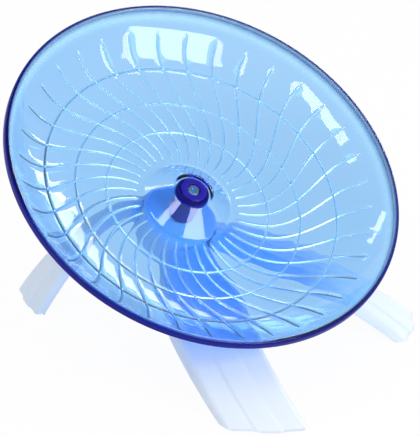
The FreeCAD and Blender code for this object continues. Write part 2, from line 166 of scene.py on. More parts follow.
def arc_through(first: Point, middle: Point, last: Point, steps: int) -> Array:
    """Points of the circle through three points, at even angles from the first to the last.

    Args:
        first: Where the arc starts.
        middle: A point that it passes.
        last: Where it ends.
        steps: Number of points.

    Returns:
        Points, shape (steps, 2).
    """
    a, b, c = (np.array(p, float) for p in (first, middle, last))
    rows = np.array([b - a, c - a])
    centre = np.linalg.solve(rows, [(b @ b - a @ a) / 2, (c @ c - a @ a) / 2])
    start, bend, stop = (math.atan2(*(p - centre)[::-1]) for p in (a, b, c))
    turn = (stop - start) % (2 * math.pi)
    if (bend - start) % (2 * math.pi) > turn:
        turn -= 2 * math.pi
    angle = start + turn * np.linspace(0.0, 1.0, steps)
    return centre + np.linalg.norm(a - centre) * np.stack([np.cos(angle), np.sin(angle)], -1)


@dataclass
class Surface:
    """Points in millimetres and the quads between them.

    Attributes:
        points: Shape (points, 3).
        quads: Shape (quads, 4), numbers into points.
    """

    points: Array
    quads: Array

    @classmethod
    def ring(cls, grid: Array) -> "Surface":
        """Closed skin of a grid that meets itself both ways.

        Args:
            grid: Points, shape (rows, columns, 3); the last row joins the first, and so do the columns.

        Returns:
            The skin, with its faces outwards.
        """
        rows, columns = grid.shape[:2]
        number = np.arange(rows * columns).reshape(rows, columns)
        return cls(grid.reshape(-1, 3), cls._quads(number, True, True)).outwards()

    @classmethod
    def tube(cls, grid: Array) -> "Surface":
        """Closed skin of outlines carried along a path, with a cap at each end.

        Args:
            grid: Points, shape (rows, columns, 3); each row is a closed outline of an even number of points,
                and a cap joins the first half of an outline to its second half turned round.

        Returns:
            The skin, with its faces outwards.
        """
        rows, columns = grid.shape[:2]
        number = np.arange(rows * columns).reshape(rows, columns)
        half = columns // 2
        caps = []
        for row, flip in ((0, 1), (-1, -1)):
            pair = np.stack([number[row, :half], number[row, half:][::-1]])
            caps.append(cls._quads(pair, False, False)[:, ::flip])
        quads = np.concatenate([cls._quads(number, False, True), *caps])
        return cls(grid.reshape(-1, 3), quads).outwards()

    @classmethod
    def sheet(cls, grid: Array) -> "Surface":
        """Open sheet of a grid.

        Args:
            grid: Points, shape (rows, columns, 3).

        Returns:
            The sheet.
        """
        rows, columns = grid.shape[:2]
        number = np.arange(rows * columns).reshape(rows, columns)
        return cls(grid.reshape(-1, 3), cls._quads(number, False, False))

    @staticmethod
    def _quads(number: Array, wrap_rows: bool, wrap_columns: bool) -> Array:
        """Quads between neighbours of a grid of point numbers.

        Args:
            number: Numbers of the points, shape (rows, columns).
            wrap_rows: Whether the last row joins the first.
            wrap_columns: Whether the last column joins the first.

        Returns:
            Four numbers to a quad, shape (quads, 4).
        """
        down = np.roll(number, -1, axis=0)
        right = np.roll(number, -1, axis=1)
        across = np.roll(down, -1, axis=1)
        quads = np.stack([number, right, across, down], -1)
        quads = quads if wrap_rows else quads[:-1]
        quads = quads if wrap_columns else quads[:, :-1]
        return quads.reshape(-1, 4)

    def outwards(self) -> "Surface":
        """Same skin, turned round where the volume that its faces enclose comes out below zero.

        Returns:
            The skin with its faces outwards.
        """
        a, b, c, d = (self.points[self.quads[:, corner]] for corner in range(4))
        volume = np.einsum("ij,ij->", a, np.cross(b, c)) + np.einsum("ij,ij->", a, np.cross(c, d))
        return self if volume > 0 else Surface(self.points, self.quads[:, ::-1])

    def __add__(self, other: "Surface") -> "Surface":
        """Both skins in one."""
        return Surface(np.concatenate([self.points, other.points]),
                       np.concatenate([self.quads, other.quads + len(self.points)]))

    def to_object(self, name: str, creases: float = 40.0, **marks: Array) -> bpy.types.Object:
        """Mesh object in the scene, in metres.

        Args:
            name: Name of the object.
            creases: Angle between faces, in degrees, past which an edge stays sharp.
            **marks: Values at the points, kept as attributes for the finish.

        Returns:
            The object, at the origin.
        """
        mesh = bpy.data.meshes.new(name)
        mesh.from_pydata((self.points * MM).tolist(), [], self.quads.tolist())
        mesh.polygons.foreach_set("use_smooth", np.ones(len(self.quads), bool))
        mesh.set_sharp_from_angle(angle=math.radians(creases))
        for mark, values in marks.items():
            kept = mesh.attributes.new(mark, "FLOAT", "POINT")
            kept.data.foreach_set("value", values.astype(np.float32).ravel())
        mesh.update()
        made = bpy.data.objects.new(name, mesh)
        bpy.context.scene.collection.objects.link(made)
        return made


def turned(section: Array, columns: int) -> Surface:
    """Closed section (radius, level) turned about the axle: radius times cosine and sine, and the level kept.

    Args:
        section: Points of the outline, shape (points, 2).
        columns: Number of places round the axle.

    Returns:
        The skin in the ground frame.
    """
    turn = np.linspace(0.0, 2 * np.pi, columns, endpoint=False)
    out, up = section[:, :1], section[:, 1:]
    grid = np.stack([out * np.cos(turn), out * np.sin(turn), np.broadcast_to(up, (len(up), columns))], -1)
    return Surface.ring(AXLE.to_ground(grid))


# Shaders


class Signal:
    """Output of a shader node that takes part in Python sums."""

    def __init__(self, shader: "Shader", socket: bpy.types.NodeSocket) -> None:
        """Holds the socket and the shader that it is in."""
        self.shader = shader
        self.socket = socket

    def _sum(self, operation: str, first: Operand, second: Operand) -> "Signal":
        """Adds a Math node.

        Args:
            operation: The node's operation.
            first: First operand.
            second: Second operand.

        Returns:
            The node's value.
        """
        return self.shader.add("ShaderNodeMath", {"operation": operation}, {0: first, 1: second})

    def __add__(self, other: Operand) -> "Signal":
        """Sum of two values."""
        return self._sum("ADD", self, other)

    def __radd__(self, other: Operand) -> "Signal":
        """Sum with a number in front."""
        return self._sum("ADD", other, self)

    def __sub__(self, other: Operand) -> "Signal":
        """Difference of two values."""
        return self._sum("SUBTRACT", self, other)

    def __rsub__(self, other: Operand) -> "Signal":
        """A number less this value."""
        return self._sum("SUBTRACT", other, self)

    def __mul__(self, other: Operand) -> "Signal":
        """Product of two values."""
        return self._sum("MULTIPLY", self, other)

    def __rmul__(self, other: Operand) -> "Signal":
        """Product with a number in front."""
        return self._sum("MULTIPLY", other, self)

    def __pow__(self, other: Operand) -> "Signal":
        """This value to a power."""
        return self._sum("POWER", self, other)

    def at_most(self, other: Operand) -> "Signal":
        """Lesser of two values."""
        return self._sum("MINIMUM", self, other)

    def at_least(self, other: Operand) -> "Signal":
        """Greater of two values."""
        return self._sum("MAXIMUM", self, other)


class Shader:
    """Node tree of a material or of the world, built up in Python."""

    def __init__(self, owner: Union[bpy.types.Material, bpy.types.World]) -> None:
        """Starts an empty tree with its output node.

        Args:
            owner: Material or world that the tree belongs to.
        """
        owner.use_nodes = True
        self.tree = owner.node_tree
        self.tree.nodes.clear()
        kind = "ShaderNodeOutputWorld" if isinstance(owner, bpy.types.World) else "ShaderNodeOutputMaterial"
        self.output = self.tree.nodes.new(kind)

    def add(self, kind: str, settings: Mapping[str, Any], inputs: Mapping[Union[str, int], Any],
            output: Union[str, int] = 0) -> Signal:
        """Adds any node: its settings first, and then the values or links of its sockets.

        Args:
            kind: The node's type.
            settings: Properties by name; "stops" holds a ramp's places and colours.
            inputs: Sockets by name or number, each a number, a colour or a Signal.
            output: The output to return.

        Returns:
            The chosen output.
        """
        node = self.tree.nodes.new(kind)
        for name, value in settings.items():
            if name == "stops":
                while len(node.color_ramp.elements) < len(value):
                    node.color_ramp.elements.new(0.5)
                for element, (place, colour) in zip(node.color_ramp.elements, value):
                    element.position = place
                    element.color = (*colour, 1.0)
            else:
                setattr(node, name, value)
        for name, value in inputs.items():
            if isinstance(value, Signal):
                self.tree.links.new(value.socket, node.inputs[name])
            else:
                node.inputs[name].default_value = value
        return Signal(self, node.outputs[output])

    def end(self, socket: str, signal: Signal) -> None:
        """Links a signal to a socket of the output node."""
        self.tree.links.new(signal.socket, self.output.inputs[socket])

    def place(self, turned: bool = False) -> Signal:
        """Object coordinates in metres, or the same turned to the axle's frame.

        Args:
            turned: Whether the third axis lies along the axle, with the origin in the dish floor.

        Returns:
            The coordinates.
        """
        spot = self.add("ShaderNodeTexCoord", {}, {}, "Object")
        if not turned:
            return spot
        centred = self.add("ShaderNodeVectorMath", {"operation": "SUBTRACT"},
                           {0: spot, 1: tuple(AXLE.origin * MM)})
        return self.add("ShaderNodeMapping", {"vector_type": "POINT"},
                        {"Vector": centred, "Rotation": (-AXLE.lean, 0.0, 0.0)})

    def noise(self, spot: Signal, scale: float, detail: float = 3.0, roughness: float = 0.5) -> Signal:
        """Cloudy value from 0 to 1.

        Args:
            spot: Coordinates.
            scale: Clouds to the metre.
            detail: Finer layers.
            roughness: Weight of the finer layers.

        Returns:
            The value.
        """
        return self.add("ShaderNodeTexNoise", {"noise_dimensions": "3D"},
                        {"Vector": spot, "Scale": scale, "Detail": detail, "Roughness": roughness}, "Fac")

    def between(self, share: Signal, first: Colour, second: Colour) -> Signal:
        """Colour between two, by a share from 0 to 1.

        Args:
            share: 0 gives the first colour and 1 the second.
            first: First colour.
            second: Second colour.

        Returns:
            The mixed colour.
        """
        return self.add("ShaderNodeMix", {"data_type": "RGBA", "clamp_factor": True},
                        {0: share, 6: (*first, 1.0), 7: (*second, 1.0)}, 2)

    def bump(self, height: Signal, depth: float, strength: float) -> Signal:
        """Normal of a surface that a height between 0 and 1 raises by a depth in metres.

        Args:
            height: Height from 0 to 1.
            depth: Rise at height 1, in metres.
            strength: Weight of the bump.

        Returns:
            The normal.
        """
        return self.add("ShaderNodeBump", {},
                        {"Strength": strength, "Distance": depth, "Height": height}, "Normal")

    def mark(self, name: str) -> Signal:
        """Value that a piece's mesh carries under a name."""
        return self.add("ShaderNodeAttribute", {"attribute_name": name}, {}, "Fac")

    def ray(self, kind: str) -> Signal:
        """1 for light rays of a kind, such as "Is Shadow Ray", and 0 for others."""
        return self.add("ShaderNodeLightPath", {}, {}, kind)

    def rings(self, spot: Signal, scale: float, distortion: float, detail: float) -> Signal:
        """Waves from 0 to 1 in rings about the third axis.

        Args:
            spot: Coordinates.
            scale: Rings to the metre.
            distortion: How far they wander.
            detail: Finer layers of the wandering.

        Returns:
            The value.
        """
        return self.add("ShaderNodeTexWave", {"wave_type": "RINGS", "rings_direction": "Z"},
                        {"Vector": spot, "Scale": scale, "Distortion": distortion, "Detail": detail}, "Fac")

    def mix(self, share: Operand, first: Signal, second: Signal) -> Signal:
        """Finish between two, by a share from 0 to 1."""
        return self.add("ShaderNodeMixShader", {}, {0: share, 1: first, 2: second})


@dataclass(frozen=True)
class ClearPlastic:
    """Clear moulded plastic that is pale where it is thin and deep in colour along its edges, with a painted
    highlight where a piece's mark "lip" is 1.

    Attributes:
        name: Name of the material.
        stain: Share of each colour that a deep layer lets through.
        density: Strength of the stain to the metre.
        edge_colour: Colour of a piece's edge, where its mark "edge" is 1.
        edge_shade: Colour of the edge's darker clouds.
        edge_light: Colour of the light that shines through the edge.
        roughness: Roughness of clean areas.
        haze: Roughness added by handling marks.
        glint: Share of mirror gleam on the ribs, where a piece's mark "rib" is 1.
        frost: Share of a pale painted highlight inside the lip, where a piece's mark "lip" is 1.
        gleam: Colour of the ribs' gleam and of the painted highlight inside the lip.
        gleam_shade: The same where it is duller.
        shadow: Share of each colour that light keeps on its way through to what lies below.
        edge_cover: Share of the clear plastic that the edge's colour hides.
        index: Refractive index.
        wave: Depth of the moulding's slow waves, in metres.
        grain: Depth of its fine grain, in metres.
        relief: Depth that waves and grain are shares of, in metres.
    """

    name: str
    stain: Colour
    density: float
    edge_colour: Colour
    edge_shade: Colour
    edge_light: Colour
    roughness: float
    haze: float
    glint: float
    frost: float
    gleam: Colour
    gleam_shade: Colour
    shadow: Colour
    edge_cover: float = 0.96
    index: float = 1.49
    wave: float = 0.00010
    grain: float = 0.000003
    relief: float = 0.0002

    def make(self) -> bpy.types.Material:
        """Makes this plastic: handling marks roughen it, and slow waves and fine grain shape its face.

        Returns:
            The material.
        """
        material = bpy.data.materials.new(self.name)
        shader = Shader(material)
        spot = shader.place()
        clouds = shader.noise(spot, scale=34.0, detail=4.0, roughness=0.55)
        specks = shader.noise(spot, scale=900.0, detail=2.0)
        marks = shader.noise(spot, scale=260.0, detail=5.0, roughness=0.6)
        edge, rib, lip = (shader.mark(name) for name in ("edge", "rib", "lip"))
        height = clouds * (self.wave / self.relief) + specks * (self.grain / self.relief)
        normal = shader.bump(height, self.relief, strength=0.35)
        skin = shader.add("ShaderNodeBsdfPrincipled", {}, {
            "Base Color": shader.between(clouds, (0.99, 0.995, 1.0), (1.0, 1.0, 1.0)),
            "Roughness": self.roughness + self.haze * (clouds * marks * 2.0) ** 1.6,
            "IOR": self.index,
            "Transmission Weight": 1.0,
            "Normal": normal,
        })
        # Pale finish: a mirror gleam on the ribs, and a painted highlight in the band inside the lip.
        pale = shader.add("ShaderNodeBsdfPrincipled", {}, {
            "Base Color": shader.between(marks, self.gleam_shade, self.gleam),
            "Metallic": rib.at_most(1.0),
            "Roughness": 0.22 + 0.2 * specks,
            "IOR": self.index,
            "Normal": normal,
        })
        gleam_and_painted_highlight = (0.8 + 0.4 * marks) * (rib * self.glint).at_least(lip * self.frost)
        rim = shader.add("ShaderNodeBsdfPrincipled", {}, {
            "Base Color": shader.between(clouds, self.edge_shade, self.edge_colour),
            "Roughness": 0.12 + 0.1 * marks,
            "IOR": self.index,
            "Specular IOR Level": 0.2,
            "Normal": normal,
        })
        lit = shader.add("ShaderNodeBsdfTranslucent", {},
                         {"Color": (*self.edge_light, 1.0), "Normal": normal})
        rim = shader.mix(0.15 + 0.2 * clouds, rim, lit)
        clear = shader.mix(gleam_and_painted_highlight.at_most(1.0), skin, pale)
        whole = shader.mix(edge * self.edge_cover, clear, rim)
        through = shader.add("ShaderNodeBsdfTransparent", {}, {"Color": (*self.shadow, 1.0)})
        shader.end("Surface", shader.mix(shader.ray("Is Shadow Ray"), whole, through))
        shader.end("Volume", shader.add("ShaderNodeVolumeAbsorption", {},
                                        {"Color": (*self.stain, 1.0), "Density": self.density}))
        return material


@dataclass(frozen=True)
class MilkyPlastic:
    """Frosted plastic that lets light through without a clear view.

    Attributes:
        name: Name of the material.
        colour: Colour of its body.
        shade: Colour where it is cloudier.
        clear: Share of light that goes through.
        roughness: Roughness of its face.
        frost: Depth of the mould's frosting, in metres.
        index: Refractive index.
    """

    name: str
    colour: Colour
    shade: Colour
    clear: float
    roughness: float
    frost: float = 0.000012
    index: float = 1.46

    def make(self) -> bpy.types.Material:
        """Makes this plastic: slow flow clouds in its body, frosted grain and smoother rubbed places.

        Returns:
            The material.
        """
        material = bpy.data.materials.new(self.name)
        shader = Shader(material)
        spot = shader.place()
        flow = shader.noise(spot, scale=55.0, detail=4.0, roughness=0.55)
        rubbed = shader.noise(spot, scale=180.0, detail=4.0, roughness=0.6)
        frost = shader.noise(spot, scale=2400.0, detail=2.0)
        skin = shader.add("ShaderNodeBsdfPrincipled", {}, {
            "Base Color": shader.between(flow, self.shade, self.colour),
            "Roughness": self.roughness + 0.16 * (rubbed - 0.5) + 0.05 * frost,
            "IOR": self.index,
            "Specular IOR Level": 0.2,
            "Transmission Weight": self.clear,
            "Normal": shader.bump(frost * 0.6 + flow * 0.4, self.frost, strength=0.5),
        })
        shader.end("Surface", skin)
        return material


@dataclass(frozen=True)
class GlossPlastic:
    """Solid moulded plastic with a polished skin.

    Attributes:
        name: Name of the material.
        colour: Main colour.
        shade: Colour of its darker clouds.
        roughness: Roughness of clean areas.
        grain: Depth of the mould's grain and rings, in metres.
        index: Refractive index.
    """

    name: str
    colour: Colour
    shade: Colour
    roughness: float
    grain: float = 0.00001
    index: float = 1.5

    def make(self) -> bpy.types.Material:
        """Makes this plastic: faint flow clouds in its colour, rings from the mould and fine grain.

        Returns:
            The material.
        """
        material = bpy.data.materials.new(self.name)
        shader = Shader(material)
        spot = shader.place(turned=True)
        flow = shader.noise(spot, scale=160.0, detail=4.0, roughness=0.6)
        grain = shader.noise(spot, scale=2600.0, detail=2.0)
        rings = shader.rings(spot, scale=420.0, distortion=0.4, detail=1.0)
        skin = shader.add("ShaderNodeBsdfPrincipled", {}, {
            "Base Color": shader.between(flow, self.shade, self.colour),
            "Roughness": self.roughness + 0.12 * flow * grain + 0.03 * rings,
            "IOR": self.index,
            "Normal": shader.bump(grain * 0.5 + rings * 0.5, self.grain, strength=0.4),
        })
        shader.end("Surface", skin)
        return material


@dataclass(frozen=True)
class TurnedSteel:
    """Steel with marks round the axle.

    Attributes:
        name: Name of the material.
        colour: Colour of its bright face.
        shade: Colour in its grooves and stains.
        roughness: Roughness of its bright face.
        pitch: Grooves to the metre.
        groove: Depth of a groove, in metres.
    """

    name: str
    colour: Colour
    shade: Colour
    roughness: float
    pitch: float
    groove: float

    def make(self) -> bpy.types.Material:
        """Makes this steel: rings of turning marks, small stains and fine scratches.

        Returns:
            The material.
        """
        material = bpy.data.materials.new(self.name)
        shader = Shader(material)
        spot = shader.place(turned=True)
        rings = shader.rings(spot, scale=self.pitch, distortion=1.5, detail=3.0)
        stains = shader.noise(spot, scale=380.0, detail=5.0, roughness=0.65)
        scratch = shader.noise(spot, scale=4200.0, detail=2.0)
        skin = shader.add("ShaderNodeBsdfPrincipled", {}, {
            "Base Color": shader.between(stains * 0.7 + rings * 0.3, self.shade, self.colour),
            "Metallic": 1.0,
            "Roughness": self.roughness + 0.16 * (1 - rings) * stains + 0.06 * scratch,
            "Normal": shader.bump(rings * 0.7 + scratch * 0.3, self.groove, strength=0.5),
        })
        shader.end("Surface", skin)
        return material


@dataclass(frozen=True)
class MouldedNylon:
    """Milky nylon.

    Attributes:
        name: Name of the material.
        colour: Main colour.
        shade: Colour of its worn places.
        grain: Depth of the mould's grain, in metres.
        index: Refractive index.
    """

    name: str
    colour: Colour
    shade: Colour
    grain: float = 0.00002
    index: float = 1.53

    def make(self) -> bpy.types.Material:
        """Makes this nylon: soft clouds, worn places and the mould's fine grain.

        Returns:
            The material.
        """
        material = bpy.data.materials.new(self.name)
        shader = Shader(material)
        spot = shader.place(turned=True)
        clouds = shader.noise(spot, scale=500.0, detail=4.0, roughness=0.6)
        grain = shader.noise(spot, scale=5200.0, detail=2.0)
        skin = shader.add("ShaderNodeBsdfPrincipled", {}, {
            "Base Color": shader.between(clouds, self.shade, self.colour),
            "Roughness": 0.42 + 0.2 * clouds * grain,
            "IOR": self.index,
            "Normal": shader.bump(grain, self.grain, strength=0.4),
        })
        shader.end("Surface", skin)
        return material


Finish = Union[ClearPlastic, MilkyPlastic, GlossPlastic, TurnedSteel, MouldedNylon]

FINISHES: dict[Slot, Finish] = {
    # frost and gleam paint a pale highlight in a band inside the dish's lip.
    Slot.DISH: ClearPlastic(
        "clear blue plastic", stain=(0.0, 0.58, 0.985), density=450.0, edge_colour=(0.004, 0.003, 0.17),
        edge_shade=(0.003, 0.002, 0.12), edge_light=(0.02, 0.07, 0.60), roughness=0.012, haze=0.05,
        glint=0.78, frost=0.4, gleam=(0.48, 0.88, 1.0), gleam_shade=(0.36, 0.78, 1.0),
        shadow=(0.28, 0.62, 0.87)),
    Slot.STAND: MilkyPlastic(
        "milky stand plastic", colour=(0.81, 0.91, 0.98), shade=(0.76, 0.88, 0.96), clear=0.15,
        roughness=0.46),
    Slot.CAP: GlossPlastic(
        "navy cap plastic", colour=(0.012, 0.004, 0.36), shade=(0.008, 0.003, 0.27), roughness=0.16),
    Slot.BARREL: GlossPlastic(
        "navy barrel plastic", colour=(0.003, 0.005, 0.26), shade=(0.002, 0.003, 0.18), roughness=0.16),
    # Blue painted into the screw's colour stands in for a reflection of the blue plastic round it.
    Slot.SCREW: TurnedSteel(
        "screw steel with painted blue reflection", colour=(0.26, 0.50, 0.76), shade=(0.14, 0.32, 0.58), roughness=0.22,
        pitch=900.0, groove=0.000012),
    Slot.ZINC: TurnedSteel(
        "zinc plated steel", colour=(0.70, 0.71, 0.72), shade=(0.50, 0.50, 0.52), roughness=0.26,
        pitch=900.0, groove=0.000012),
    Slot.BRIGHT: TurnedSteel(
        "bright turned steel", colour=(0.78, 0.78, 0.79), shade=(0.60, 0.60, 0.61), roughness=0.18,
        pitch=1500.0, groove=0.000008),
    Slot.RACE: TurnedSteel(
        "ground bearing steel", colour=(0.74, 0.74, 0.75), shade=(0.58, 0.57, 0.56), roughness=0.14,
        pitch=2200.0, groove=0.000005),
    Slot.BALL: TurnedSteel(
        "polished ball steel", colour=(0.86, 0.86, 0.87), shade=(0.76, 0.76, 0.76), roughness=0.05,
        pitch=300.0, groove=0.000001),
    Slot.NYLON: MouldedNylon("milky nylon", colour=(0.80, 0.79, 0.74), shade=(0.66, 0.64, 0.58)),
}


class Wardrobe:
    """Makes each finish once and puts it on pieces and on solids that stay."""

    def __init__(self) -> None:
        """Starts with no material made."""
        self.made: dict[Slot, bpy.types.Material] = {}

    def material(self, slot: Slot) -> bpy.types.Material:
        """Material of a slot, made when it is first asked for.

        Args:
            slot: The slot.

        Returns:
            The material.
        """
        if slot not in self.made:
            self.made[slot] = FINISHES[slot].make()
        return self.made[slot]

    def dress(self, piece: bpy.types.Object, slot: Slot) -> None:
        """Gives a piece the finish of a slot."""
        piece.data.materials.clear()
        piece.data.materials.append(self.material(slot))

    def fit(self, piece: bpy.types.Object, body: Body, slot: Slot, *stands_for: str) -> None:
        """Dresses a new piece, sets it on its body and hides the solids that it stands for.

        Args:
            piece: The new piece.
            body: Body that it rides on.
            slot: Slot of its finish.
            *stands_for: Solids that it replaces.
        """
        self.dress(piece, slot)
        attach(piece, body.value)
        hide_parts(*stands_for)
        LOG.info("%s: %d faces on %s", piece.name, len(piece.data.polygons), body.value)


# Sub-assemblies


@dataclass
class RunningDish:
    """Clear dish with its dome and grip ribs, one moulding.

    Attributes:
        radius: Outer radius of the lip.
        depth: From the rim down to the floor.
        floor_radius: Flat part of the floor.
        wall: Thickness of the plastic.
        lip_width: Width of the rounded lip.
        lip_edge: Height of the lip's outer rounding.
        band: Points down the lip's outer face, as distances in from the radius and up from the wall's end.
        dome_foot: Radius where the dome's side runs out into the floor.
        dome_top: Radius where it leaves the flat top.
        dome_height: Flat top above the floor.
        dome_round: Rounding of the dome's shoulder and foot.
        flank_shares: Rows on the dome's straight flank, as shares of it.
        hole_radius: Hole for the barrel.
        edge: Rounding of the hole's edges.
        rib_height: Rise of a rib above the face.
        rib_half: Half of a rib's width.
        ring_ribs: Radii of the round ribs.
        swirl_count: Number of swirling ribs.
        swirl_start: Radius where they rise from the floor.
        swirl_end: Radius where they run out into the wall.
        start_fade: How they rise about the start, as distances from it.
        end_fade: How they run out about the end, as distances from it.
        swirl_turn: Turn between a rib's ends, in degrees.
        swirl_phase: Direction of the first rib's outer end, in degrees.
        swirl_span: Radii between which a rib turns.
        rib_cuts: Columns across a rib, in half widths from its middle.
        plain_cuts: Columns between two ribs.
        start_rows: Close rows about the ribs' start: first and last distance from it.
        end_rows: Close rows about their end: first and last distance from it.
        close_rows: Number of rows about each.
        face_rows: Even rows between the dome and the lip.
        row_room: Least room of an even row beside a close one.
        under_rows: Rows on the underside.
        arc_steps: Points on each rounding of the running side.
        under_steps: Points on each rounding of the underside.
        hole_steps: Points on each rounded edge of the hole.
        rim_fade: Distances in from the radius over which the edge's colour comes in.
        hole_fade: Distances out from the hole over which it goes again.
        lip_band: Distances in from the radius over which the painted highlight comes in.
        lip_gap: Width between the painted highlight and the edge's colour.
    """

    radius: float = 90.0
    depth: float = 24.9
    floor_radius: float = 36.0
    wall: float = 2.2
    lip_width: float = 2.0
    lip_edge: float = 1.2
    band: tuple[Point, ...] = ((0.0, 0.9), (0.0, 0.6), (0.15, 0.38))
    dome_foot: float = 21.5
    dome_top: float = 7.8
    dome_height: float = 8.7
    dome_round: float = 3.0
    flank_shares: tuple[float, ...] = (0.04, 0.35, 0.65, 0.96)
    hole_radius: float = 5.94
    edge: float = 0.3
    rib_height: float = 0.6
    rib_half: float = 0.55
    ring_ribs: tuple[float, ...] = (37.3, 51.9, 67.2)
    swirl_count: int = 36
    swirl_start: float = 23.0
    swirl_end: float = 81.0
    start_fade: Point = (-0.8, 1.4)
    end_fade: Point = (-1.8, 0.8)
    swirl_turn: float = 25.5
    swirl_phase: float = 2.45
    swirl_span: Point = (22.0, 77.0)
    rib_cuts: tuple[float, ...] = (-1.3, -0.85, -0.42, 0.0, 0.42, 0.85, 1.3)
    plain_cuts: int = 3
    start_rows: Point = (-0.8, 1.6)
    end_rows: Point = (-2.0, 1.0)
    close_rows: int = 5
    face_rows: int = 62
    row_room: float = 0.35
    under_rows: int = 46
    arc_steps: int = 11
    under_steps: int = 9
    hole_steps: int = 5
    rim_fade: Point = (1.3, 0.5)
    hole_fade: Point = (0.2, 0.7)
    lip_band: Point = (6.0, 3.5)
    lip_gap: float = 0.9

    def arch(self) -> float:
        """Radius of the wall's arc, which leaves the floor level and ends at the rim."""
        return ((self.radius - self.floor_radius) ** 2 + self.depth ** 2) / (2 * self.depth)

    def wall_level(self, radius: Array, below: float) -> Array:
        """Level of floor and wall at a radius, a depth below the running face: an arc about a point above."""
        out = np.maximum(radius - self.floor_radius, 0.0)
        return self.arch() - np.sqrt((self.arch() + below) ** 2 - out ** 2)

    def dome_side(self, below: float, steps: int) -> Array:
        """Straight flank with a rounded shoulder and foot, a depth below the dome's face.

        Each rounding is an arc about its own middle, the dome's rounding less or plus the depth away from it,
        and both turn by the flank's slope, which is that of the line that touches both circles.

        Args:
            below: Depth under the outer face.
            steps: Points on each arc.

        Returns:
            Points from the top to the floor, with a few along the flank, shape (points, 2).
        """
        run, fall = self.dome_foot - self.dome_top, self.dome_height - 2 * self.dome_round
        slope = math.atan2(fall, run) + math.asin(2 * self.dome_round / math.hypot(run, fall))
        angle = slope * np.linspace(0.0, 1.0, steps)
        arc = np.stack([np.sin(angle), np.cos(angle)], -1)
        middle = np.array([self.dome_top, self.dome_height - self.dome_round])
        shoulder = middle + (self.dome_round - below) * arc
        foot = np.array([self.dome_foot, self.dome_round]) - (self.dome_round + below) * arc[::-1]
        flank = shoulder[-1] + np.outer(self.flank_shares, foot[0] - shoulder[-1])
        return np.concatenate([shoulder, flank, foot])

    def face_radii(self) -> Array:
        """Radii of the rows on the running face: even ones, and close ones at round ribs and at ribs' ends.

        Returns:
            Radii from the dome outwards.
        """
        rings = np.add.outer(np.array(self.ring_ribs), np.array(self.rib_cuts) * self.rib_half).ravel()
        starts = self.swirl_start + np.linspace(*self.start_rows, self.close_rows)
        ends = self.swirl_end + np.linspace(*self.end_rows, self.close_rows)
        close = np.concatenate([rings, starts, ends])
        even = np.linspace(self.dome_foot, self.radius - self.lip_width, self.face_rows)[1:]
        clear = np.abs(even[:, None] - close).min(1) > self.row_room
        return np.sort(np.concatenate([close, even[clear]]))

    def profile(self) -> tuple[Array, Array, Array]:
        """Half section of the dish as a closed outline.

        It runs from the flat top over the dome's side, the floor, the wall and the lip, back under them, and
        through the hole for the barrel.

        Returns:
            Points (radius, level), the way that ribs rise at each, and a mask of rows that may carry ribs.
        """
        dome = self.dome_side(0.0, self.arc_steps)
        radii = self.face_radii()
        face = np.stack([radii, self.wall_level(radii, 0.0)], -1)
        lip_in = self.radius - self.lip_width
        wall_end = self.radius - self.lip_edge / 2
        low = float(self.wall_level(np.array(wall_end), self.wall))
        lip = arc_through((lip_in, float(self.wall_level(np.array(lip_in), 0.0))),
                          (self.radius - self.lip_width / 2, self.depth),
                          (self.radius, self.depth - self.lip_edge), self.arc_steps)
        band = np.array([(self.radius - inside, low + above) for inside, above in self.band])
        under_radii = np.linspace(wall_end, self.dome_foot, self.under_rows)
        under = np.stack([under_radii, self.wall_level(under_radii, self.wall)], -1)
        dome_under = self.dome_side(self.wall, self.under_steps)[::-1]
        top, low_face = self.dome_height, self.dome_height - self.wall
        corners = np.array([(self.hole_radius, low_face), (self.hole_radius, top), (self.dome_top, top),
                            (self.dome_top, low_face)])
        hub = rounded_loop(corners, np.full(len(corners), self.edge), self.hole_steps)[:2 * self.hole_steps]
        points = np.concatenate([dome, face, lip[1:], band, under, dome_under[1:], hub])
        out = np.clip((points[:, 0] - self.floor_radius) / self.arch(), 0.0, 1.0)
        rise = np.stack([-out, np.sqrt(1 - out ** 2)], -1)
        ribbed = np.zeros(len(points), bool)
        ribbed[len(dome):len(dome) + len(face)] = True
        return points, rise, ribbed

    def swirl(self, radius: Array) -> tuple[Array, Array]:
        """Turn of a rib at a radius, and its slant from the radius there.

        The turn goes from its start to its end as half a wave of the cosine, so a rib is radial at both ends.

        Args:
            radius: Radii.

        Returns:
            Angle in radians and the cosine of the slant.
        """
        low, high = self.swirl_span
        share = np.clip((radius - low) / (high - low), 0.0, 1.0)
        turn = math.radians(self.swirl_turn)
        angle = math.radians(self.swirl_phase) + turn * ((1 - np.cos(np.pi * share)) / 2 - 1)
        slope = turn * np.pi / 2 * np.sin(np.pi * share) / (high - low)
        return angle, 1 / np.hypot(1.0, radius * slope)

    def ribs(self, radius: Array, across: Array) -> Array:
        """Height of the ribs: each a bump of (1 - t^2) to the power 1.5, t half widths from its middle.

        Args:
            radius: Radius of each row, shape (rows, 1).
            across: Distance from the nearest swirling rib's middle, in half widths, shape (rows, columns).

        Returns:
            Height, shape (rows, columns).
        """
        ends = smoothstep(*self.start_fade, radius - self.swirl_start)
        ends = ends * (1 - smoothstep(*self.end_fade, radius - self.swirl_end))
        swirl = ends * np.maximum(1 - across ** 2, 0.0) ** 1.5
        near = np.abs(radius[..., None] - np.array(self.ring_ribs)).min(-1) / self.rib_half
        ring = np.maximum(1 - near ** 2, 0.0) ** 1.5
        return self.rib_height * np.maximum(swirl, ring)

    def rim_mark(self, points: Array) -> Array:
        """Mark of the lip's outer edge and band and of the bonded hole, falling to 0 over the top of the lip.

        Args:
            points: Section points (radius, level).

        Returns:
            A share from 0 to 1 for each point.
        """
        inside = self.radius - points[:, 0]
        rim = 1 - smoothstep(*self.rim_fade[::-1], inside)
        return np.maximum(rim, 1 - smoothstep(*self.hole_fade, points[:, 0] - self.hole_radius))

